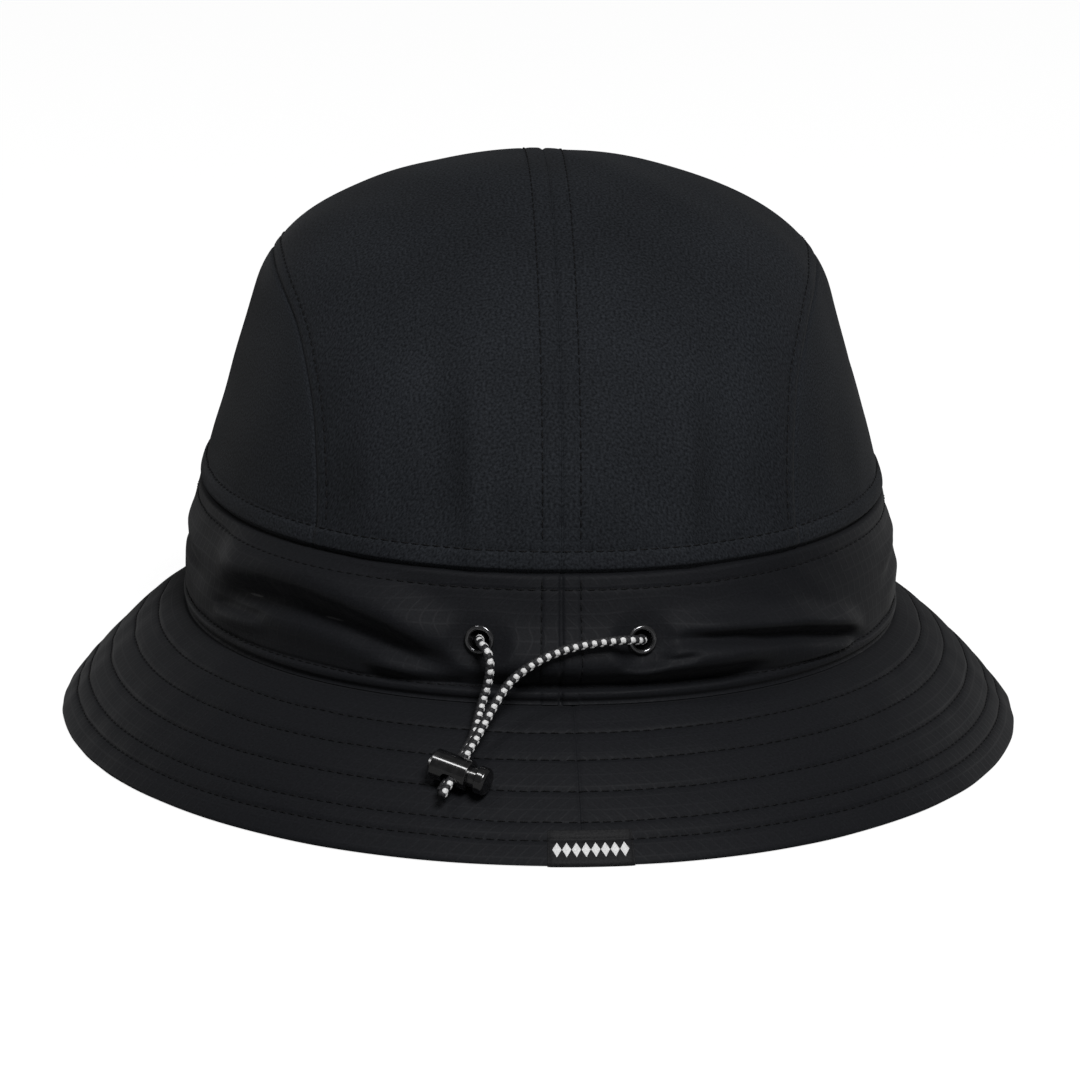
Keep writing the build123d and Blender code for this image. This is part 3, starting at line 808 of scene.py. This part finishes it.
SIDES = ((-1, "left"), (1, "right"))
for side, word in SIDES:
    crown_piece(f"crown_top_{word}", over_crown, *crown_top_grid(side))

    def slope_hit(fore, up, side=side):
        return crown_hit(np.stack([side + 0 * fore, fore, up], -1))

    crown_piece(f"crown_side_{word}", slope_hit, *crown_side_grid())

# %% Crown stitches
def centre_row(side):
    rise = np.linspace(4.0, 176.0, 700)
    lean = np.degrees(SEAM_ROW / eye_distance(rise, rise * 0 + BESIDE))
    return on_crown(over_crown, rise, side * lean, THREAD_PROUD)


def arch_row(side):
    rise = np.linspace(4.5, 175.5, 700)
    lean = seam_lean(rise) - np.degrees(SIDE_ROW / eye_distance(rise, seam_lean(rise) - BESIDE))
    return on_crown(over_crown, rise, side * lean, THREAD_PROUD)


def base_row():
    """The row round the crown's lower edge."""
    azimuth = np.linspace(0, 360, 1400)
    return on_crown(band_surface, azimuth, azimuth * 0 + BAND_TOP_Z + BASE_ROW, THREAD_PROUD)


crown_rows = [row(side) for row in (centre_row, arch_row) for side in (-1, 1)]
stitch_piece("crown_stitches", crown_rows + [base_row()], "crown_cloth")

# %% [markdown]
# ## The band
# The band is one ring of ripstop, closed at the centre of the back. Its top goes under the crown's
# welt and its foot carries a narrow stitched strip above the brim. The drawcord pulls the back in, so
# the cloth hangs over a crease on each side: above each crease it swells out and faces down, which
# reads as a dark fold, and below it a lit pocket opens. Cloth simulation would put such folds in
# places of its own, so each one is a listed line of heights with its own swell, and is blended in.

# %% Band relief
EYELET_AZIMUTH = 10.9
EYELET_Z = 45.2
EYELET_TUBE_R = 2.85
BAND_FOOT_Z, BAND_ROW_Z, BAND_TOP_ROW_Z = 30.6, 33.4, 57.4
BAND_SEAM_ROW = 4.7
FOLD_STRENGTH = 2.0
FOLD_FADE = 0.24
LEFT_AT = (-66, -55, -45, -38, -31, -24, -18, -9)
LEFT_Z = (40.8, 44.6, 47.2, 47.2, 45.6, 42.8, 39.2, 35.4)
# Folds: azimuths, heights of the crease, swell above, crease depth, pocket below, and their sizes
FOLDS = [
    (LEFT_AT, LEFT_Z, 2.3, 2.1, 0.7, 6.6, 3.6, 4.6),
    ((12, 17, 25, 37, 47, 56), (44.2, 44.6, 43.6, 40.8, 37.2, 33.0), 1.5, 1.8, 0.8, 3.2, 1.7, 4.0),
    ((-17, -8, 0, 7, 13, 21, 34), (34.0, 33.8, 33.7, 33.7, 33.8, 34.0, 34.0), 1.9, 2.2, 0.0, 6.4, 3.0, 2.0),
    ((-28, -22, -16, -11), (34.0, 33.9, 33.8, 33.8), 0.6, 1.0, 0.0, 3.6, 1.8, 1.6),
    ((7.0, 10.5, 14, 19), (39.0, 39.9, 40.2, 41.0), 0.3, 0.7, 0.3, 1.6, 1.0, 1.8),
    ((-64, -56, -50, -45), (39.4, 40.6, 41.2, 41.8), 0.4, 0.7, 0.3, 2.2, 1.5, 2.4),
    ((62, 75, 92, 106), (43, 46, 47, 45), 0.5, 0.5, 0.3, 3.4, 2.6, 4.0),
    ((-108, -94, -80, -68), (44, 46, 45, 43), 0.5, 0.5, 0.3, 3.4, 2.6, 4.0),
    ((118, 134, 150, 163), (46, 44, 43, 45), 0.4, 0.45, 0.2, 3.6, 2.6, 4.4),
    ((-166, -150, -136, -120), (44, 43, 45, 47), 0.4, 0.45, 0.2, 3.6, 2.6, 4.4),
]


def folded(azimuth, z):
    """Height that the folds add."""
    h = 0 * z
    for at, heights, swell, depth, pocket, above, across, below in FOLDS:
        off = z - np.interp(azimuth, at, heights)
        here = window(azimuth, at[0], at[-1], (at[-1] - at[0]) * FOLD_FADE)
        fold = swell * bell(off - above * 0.95, above) - depth * bell(off, across)
        fold = fold + pocket * bell(off + below, below)
        h = h + here * fold * FOLD_STRENGTH
    return h


def from_eyelet(azimuth, z):
    """Distance along the band to the middle of the nearer eyelet."""
    return np.hypot((np.abs(azimuth) - EYELET_AZIMUTH) * MM_PER_DEGREE, z - EYELET_Z)


def band_relief(azimuth, z):
    """Height of the band's cloth over the block."""
    azimuth = (azimuth + 180) % 360 - 180
    mm = azimuth * MM_PER_DEGREE
    free = np.clip((from_eyelet(azimuth, z) - 4.0) / 4.0, 0, 1) ** 1.5
    foot = np.clip((z - 32.7) / 1.3, 0, 1)
    inner = window(z, 20, 61.5, 6.0) * foot * foot * (3 - 2 * foot)
    x, y = ring_spot(azimuth, 97)
    uneven = 0.55 * ripple(x + z, y + 1.5 * z, 11, 7.0) + 0.2 * ripple(x + z, y + z, 12, 2.6)
    h = inner * free * (folded(azimuth, z) + uneven)
    h = h + groove(mm, 0.6, 0.5) + plateau(np.abs(mm), 0.3, BAND_SEAM_ROW, 0.2, 0.25)
    h = h + groove(np.abs(mm) - BAND_SEAM_ROW, 0.25, 0.5)
    h = h + groove(z - BAND_ROW_Z, 0.55, 0.6) + plateau(z, BAND_FOOT_Z, BAND_ROW_Z, 0.55, 0.22)
    pulls = bell(z - BAND_ROW_Z, 1.6) + bell(z - BAND_TOP_ROW_Z, 1.8)
    h = h + 0.14 * pulls * ripple(x, y, 35, 1.6)
    h = h + groove(z - BAND_TOP_ROW_Z, 0.15, 0.5) - 2.0 * np.clip((z - 60.3) / 1.3, 0, 1) ** 1.5
    return h + groove(z - BAND_FOOT_Z, 0.5, 0.7)


def band_layer(azimuth, z, relief, layer):
    """Outside and inside points of a layer of the band."""
    a, b = grid_of(azimuth, z)
    h = relief(a, b)
    outside, _ = lifted(band_surface, a, b, h - layer[0])
    inside, _ = lifted(band_surface, a, b, h - layer[1])
    return outside, inside


eyelets_at = (EYELET_AZIMUTH, 360 - EYELET_AZIMUTH)
azimuths = crowded(0.0, 360.0, 0.62, 0.17, (0.1, 2.65, *eyelets_at, 357.35, 359.9), 1.1)
band_lines = (BAND_FOOT_Z, BAND_ROW_Z, EYELET_Z, BAND_TOP_ROW_Z, 61.6)
heights = crowded(29.6, 61.7, 0.55, 0.24, band_lines, 1.5)
middle_a = (azimuths[1:] + azimuths[:-1])[:, None] / 2
middle_z = (heights[1:] + heights[:-1])[None] / 2
solid = from_eyelet(180 - np.abs(180 - middle_a), middle_z) > EYELET_TUBE_R + 0.1
band_points = band_layer(azimuths, heights, band_relief, (0.0, 0.9))
dress(cloth_piece("band_cloth", *band_points, solid), "ripstop", RIPSTOP_FINISH, "band")

# %% Band stitches
def band_path(azimuth, z, proud=THREAD_PROUD):
    return lifted(band_surface, azimuth, z, band_relief(azimuth, z) + proud)


around = np.linspace(0.3, 359.7, 1600)
upright = np.linspace(34.2, 60.0, 90)
band_rows = [band_path(around, around * 0 + BAND_ROW_Z)]
band_rows += [band_path(around, around * 0 + BAND_TOP_ROW_Z, 0.1)]
band_rows += [band_path(upright * 0 + s * BAND_SEAM_ROW / MM_PER_DEGREE, upright) for s in (-1, 1)]
stitch_piece("band_stitches", band_rows, "ripstop")

# %% [markdown]
# ## Inside the band
# The sweatband is a soft knit ring, stitched along both edges. Between it and the band, a narrow strip
# makes the tunnel for the drawcord. A plain care label hangs from the sweatband beside the back seam;
# it carries no text.

# %% Inner rings
SWEAT_ROWS = (30.0, 55.4)


def slack(azimuth, z):
    """Slow waves that the sweatband and its label share."""
    return 0.35 * ripple(azimuth * MM_PER_DEGREE, z * 1.5, 21, 8.0)


def sweat_relief(azimuth, z):
    """The edges roll in towards the head, and the thread pulls its rows towards the band."""
    rolls = groove(z - 27.6, 0.45, 1.0) + groove(z - 57.4, 0.3, 1.0)
    rows = groove(z - SWEAT_ROWS[0], 0.25, 0.6) + groove(z - SWEAT_ROWS[1], 0.25, 0.6)
    return rolls - rows + slack(azimuth, z)


def channel_relief(azimuth, z):
    return 0.12 * ripple(azimuth * MM_PER_DEGREE, z, 22, 5.0)


def label_relief(azimuth, z):
    return slack(azimuth, z) - 0.5 * np.clip((36 - z) / 8, 0, 1) ** 2


# Each layer: its piece, node and looks, its grid's azimuths and heights, its relief and its two depths
sweat_heights = crowded(27.0, 58.0, 0.9, 0.35, (27.2, *SWEAT_ROWS, 57.8), 1.2)
INNER_LAYERS = [
    ("sweatband_knit", "sweatband", "sweatband_cloth", SWEAT_FINISH,
     np.linspace(0, 360, 401), sweat_heights, sweat_relief, (5.2, 6.2)),
    ("cord_channel_tape", "cord_channel", "ripstop", RIPSTOP_FINISH,
     np.arange(17, 343.1, 1.0), np.linspace(39.2, 51.2, 12), channel_relief, (4.35, 4.85)),
    ("care_label_satin", "care_label", "label_satin", LABEL_FINISH,
     np.linspace(3, 18, 40), np.linspace(33, 52, 34), label_relief, (6.4, 6.8)),
]
for piece_name, node, slot, finish, *grid in INNER_LAYERS:
    dress(cloth_piece(piece_name, *band_layer(*grid)), slot, finish, node)
rows = []
for z in SWEAT_ROWS:
    level = around * 0 + z
    path, normal = lifted(band_surface, around, level, sweat_relief(around, level) - 6.32)
    rows.append((path, -normal))
stitch_piece("sweatband_stitches", rows, "sweatband_cloth", INNER_THREAD_R)

# %% [markdown]
# ## Seam tapes
# Inside the crown, a binding tape covers each raw seam. A tape is stitched down along both of its
# edges, which pulls the edges in and leaves the middle slightly raised towards the head.

# %% Seam tapes
TAPE_LAYER = (1.0, 1.4)
TAPE_ROW = 0.8


def tape_piece(word, rise, middle, half):
    """A tape round a line of leans, with half its width in degrees, and its two stitch rows."""
    share = crowded(-1, 1, 0.14, 0.05, (-TAPE_ROW, TAPE_ROW), 0.15)
    a = np.broadcast_to(rise[:, None], (len(rise), len(share)))
    lean = middle[:, None] + half * share[None]
    crest = 0.22 * bell(np.abs(share) - TAPE_ROW, 0.1) - 0.2 * np.cos(share * math.pi / 2)
    h = np.broadcast_to(crest[None], a.shape) - 0.35
    faces = [lifted(over_crown, a, lean, h - depth)[0] for depth in TAPE_LAYER]
    piece = cloth_piece(f"{word}_seam_tape", *faces)
    dress(piece, "seam_tape", TAPE_FINISH, f"seam_tape_{word}")
    rows = [lifted(over_crown, rise, middle + half * edge, -1.75) for edge in (-TAPE_ROW, TAPE_ROW)]
    return [(path, -normal) for path, normal in rows]


tape_rise = np.linspace(2, 178, 240)
tape_rows = tape_piece("centre", tape_rise, 0 * tape_rise, 3.0)
tape_rise = np.linspace(3, 177, 240)
for side, word in SIDES:
    tape_rows += tape_piece(word, tape_rise, side * seam_lean(tape_rise), 3.2)
stitch_piece("tape_stitches", tape_rows, "seam_tape", INNER_THREAD_R)

# %% [markdown]
# ## The brim
# The brim is two layers of ripstop with a stiffening layer between them, quilted together by rows of
# stitches that run right round. Between two rows the cloth puffs up a little, and at the edge both
# layers turn in and meet. The under side has the same rows, because each stitch goes through.

# %% Brim relief
BRIM_ROWS = (0.22, 0.41, 0.60, 0.77, 0.866)
BRIM_END = 1.0
BRIM_SLOPE_MM = 51.0
BRIM_THICK = 2.7
BRIM_HALF = BRIM_THICK / 2
BRIM_MM_PER_DEGREE = 1.9
BRIM_BACK_SEAM = 1.6
BRIM_FLOOR = 0.2


def brim_spot(azimuth, reach):
    return ring_spot(azimuth, 95 + 35 * reach)


def puckered(azimuth, reach):
    """Small uneven pulls of the thread along the stitch rows."""
    near = 0 * reach
    for row in BRIM_ROWS:
        near = near + bell((reach - row) * BRIM_SLOPE_MM, 2.2)
    return 0.16 * near * ripple(*brim_spot(azimuth, reach), 34, 1.7)


def quilted(reach):
    """Grooves along the stitch rows and puffs between them."""
    h = 0 * reach
    edges = (0.0, *BRIM_ROWS, BRIM_END)
    for start, stop in zip(edges, edges[1:]):
        t = np.clip((reach - start) / (stop - start), 0, 1)
        h = h + 0.17 * np.sin(math.pi * t) ** 0.8 * (t > 0) * (t < 1)
    for row in BRIM_ROWS:
        h = h + groove((reach - row) * BRIM_SLOPE_MM, 0.28, 0.6)
    return h


def brim_relief(azimuth, reach):
    """Height of the brim's upper cloth over the block."""
    back = (azimuth + 180) % 360 - 180
    off_seam = (back - BRIM_BACK_SEAM) * BRIM_MM_PER_DEGREE
    off_front = (180 - np.abs(back)) * BRIM_MM_PER_DEGREE
    x, y = brim_spot(azimuth, reach)
    calm = np.clip(reach / 0.15, 0, 1)
    uneven = 0.65 * ripple(x, y, 31, 12.0) + 0.25 * ripple(x, y, 32, 3.2)
    h = quilted(reach) + calm * (uneven + puckered(azimuth, reach))
    seams = groove(off_seam, 0.3, 0.5) + groove(off_front, 0.3, 0.5)
    return h + seams + groove(reach * BRIM_SLOPE_MM, 0.5, 0.8)


def turned_edge(reach):
    """How far each cloth turns in towards the middle of the brim's thickness at the edge."""
    t = np.clip(1 - (BRIM_END - reach) * BRIM_SLOPE_MM / BRIM_HALF, 0, 1)
    return BRIM_HALF * (1 - np.sqrt(1 - t * t))


def off_floor(points, lowest):
    """Points held above a height, as cloth that rests on a surface is."""
    return np.concatenate([points[..., :2], np.maximum(points[..., 2:], lowest)], -1)


def brim_faces(a, s, *depths):
    """Points at each depth under the brim's upper face, held above the floor."""
    return [off_floor(lifted(brim_surface, a, s, -depth)[0], BRIM_FLOOR) for depth in depths]


def brim_upper(a, s, proud=0.0):
    """Upper and lower faces of the brim's top cloth."""
    down = turned_edge(s) - brim_relief(a, s) * (1 - turned_edge(s) / BRIM_HALF) - proud
    return brim_faces(a, s, down, np.minimum(down + CLOTH, BRIM_HALF))


def brim_lower(a, s, proud=0.0):
    """Lower and upper faces of the brim's under cloth."""
    up = turned_edge(s)
    relief = 0.5 * quilted(s) - 0.15 + 0.3 * ripple(*brim_spot(a, s), 33, 9.0)
    depth = BRIM_THICK - up + relief * (1 - up / BRIM_HALF) + proud
    return brim_faces(a, s, depth, np.maximum(depth - CLOTH, BRIM_HALF))


brim_reaches = crowded(-0.03, BRIM_END, 0.016, 0.006, (0.0, *BRIM_ROWS, BRIM_END), 0.022)
half_turns = {
    "right": crowded(BRIM_BACK_SEAM, 180, 0.62, 0.2, (BRIM_BACK_SEAM, 180), 1.0),
    "left": crowded(-180, BRIM_BACK_SEAM, 0.62, 0.2, (-180, BRIM_BACK_SEAM), 1.0),
}
layers = (("top", brim_upper, brim_reaches), ("under", brim_lower, brim_reaches[2:]))
for word, turn in half_turns.items():
    for level, both_faces, reaches in layers:
        name = f"brim_{level}_{word}"
        points = both_faces(*grid_of(turn, reaches))
        dress(cloth_piece(f"{name}_cloth", *points), "ripstop", RIPSTOP_FINISH, name)

a, s = grid_of(np.arange(0.1, 359.95, 1.2), np.linspace(0.02, 0.95, 60))
felt = cloth_piece("brim_stiffener_felt", *brim_faces(a, s, *[d - 0.4 * quilted(s) for d in (1.05, 1.65)]))
dress(felt, "interlining", LINING_FINISH, "brim_stiffener")

# %% Brim stitches
rows = []
brim_around = np.linspace(0.2, 359.8, 1800)
for row in BRIM_ROWS:
    spot = (brim_around, brim_around * 0 + row)
    upward = lifted(brim_surface, *spot)[1]
    rows.append((brim_upper(*spot, THREAD_PROUD)[0], upward))
    rows.append((brim_lower(*spot, THREAD_PROUD)[0], -upward))
stitch_piece("brim_stitches", rows, "ripstop")

# %% [markdown]
# ## The tag on the edge
# A small woven tag is folded over the brim's edge behind. It is black satin, with a row of plain white
# woven lozenges, which stand for nothing. It is one strip that runs down the top of the brim, round
# the edge and back underneath. The lozenges are raised patches of white yarn.

# %% Tag
TAG_AZIMUTH = 2.4
TAG_HALF_ANGLE = 4.3
TAG_START = 0.82
TAG_FLOOR = 0.02


def tag_point_rows(azimuth, share, off):
    """Points of the folded strip: share 0 is its upper end, 0.5 the fold and 1 its lower end."""
    upper = share <= 0.5
    reach = TAG_START + (BRIM_END - TAG_START) * np.where(upper, share * 2, (1 - share) * 2)
    calm = brim_relief(azimuth * 0 + TAG_AZIMUTH + 3, reach)
    up = turned_edge(reach)
    above = up - calm * (1 - up / BRIM_HALF) - off
    below = BRIM_THICK - up + off
    points, _ = lifted(brim_surface, azimuth, reach, -np.where(upper, above, below))
    return off_floor(points, TAG_FLOOR)


tag_across = np.linspace(-1, 1, 60) * TAG_HALF_ANGLE + TAG_AZIMUTH
a, share = grid_of(tag_across, np.linspace(0, 1, 81))
edge_dip = 0.25 * bell(TAG_HALF_ANGLE - np.abs(a - TAG_AZIMUTH), 0.25)
tag_faces = [tag_point_rows(a, share, off) for off in (0.45 - edge_dip, 0.1)]
dress(cloth_piece("brim_tag_satin", *tag_faces), "woven_tag", TAG_FINISH, "brim_tag")

MARKS = 8
MARK_PITCH = 0.96
MARK_HALF = (0.86, 0.10)
MARK_MIDDLE = 0.27
MARK_LINES = 9
patch_points, patch_faces = [], []
line = np.linspace(-1, 1, MARK_LINES)
u, v = grid_of(line, line)
across = (u + v) / 2 * MARK_HALF[0] / BRIM_MM_PER_DEGREE
down = (u - v) / 2 * MARK_HALF[1]
raised = 0.6 - 0.14 * np.maximum(np.abs(u), np.abs(v)) ** 4
cells = cells_of(np.arange(u.size).reshape(u.shape))
for i in range(MARKS):
    middle = TAG_AZIMUTH + (i - (MARKS - 1) / 2) * MARK_PITCH
    patch_points.append(tag_point_rows(middle + across, MARK_MIDDLE + down, raised).reshape(-1, 3))
    patch_faces.append(cells + u.size * i)
marks = mesh_object("brim_tag_lozenges", np.concatenate(patch_points), np.concatenate(patch_faces))
dress(marks, "woven_tag", MARK_FINISH)

# %% [markdown]
# ## The cord tails
# Both free ends of the drawcord come out of their eyelets, cross the band and meet in the toggle. A
# smooth curve holds each route, and the braid is built round points that are read from that curve.
# The braid is a thin black core covered by slanted pads of yarn. In two neighbouring rows every second
# pad is white, and those rows are half a step apart, as where one white yarn runs through a braid.

# %% Cord routes
CORD_STEP = 0.25
CORD_ROUTES = {
    "left": [
        (-0.0194, -0.1007, 0.0452), (-0.0201, -0.1040, 0.0456), (-0.0178, -0.1080, 0.0440),
        (-0.0172, -0.1090, 0.0402), (-0.0179, -0.1086, 0.0356), (-0.0193, -0.1094, 0.0316),
        (-0.0215, -0.1166, 0.0252), (-0.0221, -0.1174, 0.0244), (-0.0250, -0.1211, 0.0206),
        (-0.0295, -0.1269, 0.0147),
    ],
    "right": [
        (0.0194, -0.1007, 0.0452), (0.0201, -0.1040, 0.0456), (0.0164, -0.1076, 0.0469),
        (0.0106, -0.1082, 0.0466), (0.0034, -0.1089, 0.0457), (-0.0036, -0.1099, 0.0436),
        (-0.0096, -0.1110, 0.0402), (-0.0142, -0.1124, 0.0362), (-0.0205, -0.1184, 0.0262),
        (-0.0211, -0.1192, 0.0254), (-0.0245, -0.1236, 0.0210), (-0.0295, -0.1300, 0.0145),
    ],
}


def smooth_route(name, route):
    """Evenly spaced points, in millimetres, of a smooth curve with the route's points as its controls."""
    curve = bpy.data.curves.new(name, "CURVE")
    curve.dimensions = "3D"
    curve.resolution_u = 24
    spline = curve.splines.new("NURBS")
    spline.points.add(len(route) - 1)
    for point, place in zip(spline.points, route):
        point.co = (*place, 1)
    spline.order_u = 3
    spline.use_endpoint_u = True
    holder = shown(name, curve)
    line = bpy.data.meshes.new_from_object(holder)
    points = np.array([v.co for v in line.vertices]) / MM
    bpy.data.objects.remove(holder)
    bpy.data.meshes.remove(line)
    length = distance_along(points)
    at = np.linspace(0, length[-1], int(length[-1] / CORD_STEP) + 1)
    print(name, "length", round(length[-1], 2), "mm")
    return at, read_at(at, length, points)


def carried_frames(path, last_side):
    """A side direction at each point of a path, carried along without twist from its last point."""
    ahead = unit(np.gradient(path, axis=0))
    sides = np.zeros_like(path)
    side = np.array(last_side, float)
    for i in range(len(path) - 1, -1, -1):
        side = side - ahead[i] * (side @ ahead[i])
        side /= np.linalg.norm(side)
        sides[i] = side
    return sides, np.cross(ahead, sides)


# %% Braid
BRAID_CORE = 0.98
PAD_STEP = 1.15
PAD_ROWS = 4
PAD_HALF = (0.98, 0.72)
WHITE_ROWS = (0, 3)
BRAID_TURN = -0.45
PAD_RISE = 0.22
PAD_SLANT = math.radians(14)


def braided(name, at, path, first_side):
    """A cord with a core and rows of slanted pads, white ones as the second material."""
    side, other = carried_frames(path, first_side)

    def on_cord(along, angle, radius):
        place, s, o = (read_at(along, at, values) for values in (path, side, other))
        out = s * np.cos(angle)[..., None] + o * np.sin(angle)[..., None]
        return (place + out * radius[..., None]).reshape(-1, 3)

    ends = np.array([0, 0.12, 0.35])
    stations = np.concatenate([ends, np.arange(0.8, at[-1] - 0.7, 0.5), at[-1] - ends[::-1]])
    radii = np.full(len(stations), BRAID_CORE)
    radii[:3] = radii[-3:][::-1] = BRAID_CORE * np.array([0.45, 0.8, 0.97])
    turn = np.linspace(0, 2 * math.pi, 13)[:-1]
    along, angle = grid_of(stations, turn)
    points = [on_cord(along, angle, radii[:, None] + 0 * angle)]
    index = np.arange(along.size).reshape(along.shape)
    faces = [tube_cells(index)]
    for lid in (index[0], index[-1][::-1]):
        faces.append(np.stack([lid[0:5], lid[11:6:-1], lid[10:5:-1], lid[1:6]], -1))
    slots, total = [np.zeros(sum(len(f) for f in faces), int)], along.size
    u, v = grid_of(np.linspace(-1, 1, 7), np.linspace(-1, 1, 5))
    across, down = u * np.sqrt(1 - v * v / 2), v * np.sqrt(1 - u * u / 2)
    height = PAD_RISE * np.sqrt(np.clip(1 - across**2 - down**2, 0, 1)) - 0.03
    cells = cells_of(np.arange(u.size).reshape(u.shape))
    for k in range(PAD_ROWS):
        slant = PAD_SLANT if k % 2 == 0 else -PAD_SLANT
        x = across * PAD_HALF[0] * math.cos(slant) - down * PAD_HALF[1] * math.sin(slant)
        y = across * PAD_HALF[0] * math.sin(slant) + down * PAD_HALF[1] * math.cos(slant)
        theta = BRAID_TURN + 2 * math.pi * k / PAD_ROWS + x / BRAID_CORE
        first = PAD_STEP * (0.7 + 0.5 * (k % 2))
        for j, middle in enumerate(np.arange(first, at[-1] - 0.5, PAD_STEP)):
            points.append(on_cord(np.clip(middle + y, 0, at[-1]), theta, BRAID_CORE + height))
            faces.append(cells + total)
            slots.append(np.full(len(cells), int(k in WHITE_ROWS and j % 2 == 0)))
            total += u.size
    return mesh_object(name, np.concatenate(points), np.concatenate(faces), slots=np.concatenate(slots))


for word, route in CORD_ROUTES.items():
    at, path = smooth_route(f"cord_route_{word}", route)
    tail = braided(f"cord_tail_{word}_braid", at, path, (0.0, -0.75, 0.66))
    dress(tail, "cord_braid", [BRAID_BLACK, BRAID_WHITE], f"cord_tail_{word}")

# %% [markdown]
# ## Metal and plastic parts
# The eyelets, their washers, the toggle and its spring already have their true shapes in the packed
# model, so they only need a finish. The cord inside the tunnel is hidden and takes the braid's black.

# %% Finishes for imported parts
FINISHES = {
    "eyelet_left": EYELET_FINISH,
    "eyelet_right": EYELET_FINISH,
    "eyelet_washer_left": EYELET_FINISH,
    "eyelet_washer_right": EYELET_FINISH,
    "drawcord": BRAID_BLACK,
    "lock_barrel": PLASTIC_FINISH,
    "lock_plunger": PLASTIC_FINISH,
    "lock_spring": SPRING_FINISH,
}
for name, finish in FINISHES.items():
    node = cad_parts[name]
    if not node.material_slots:
        node.data.materials.append(finish)
    for slot in node.material_slots:
        slot.link = "OBJECT"
        slot.material = finish
print("finished", len(FINISHES), "packed parts")
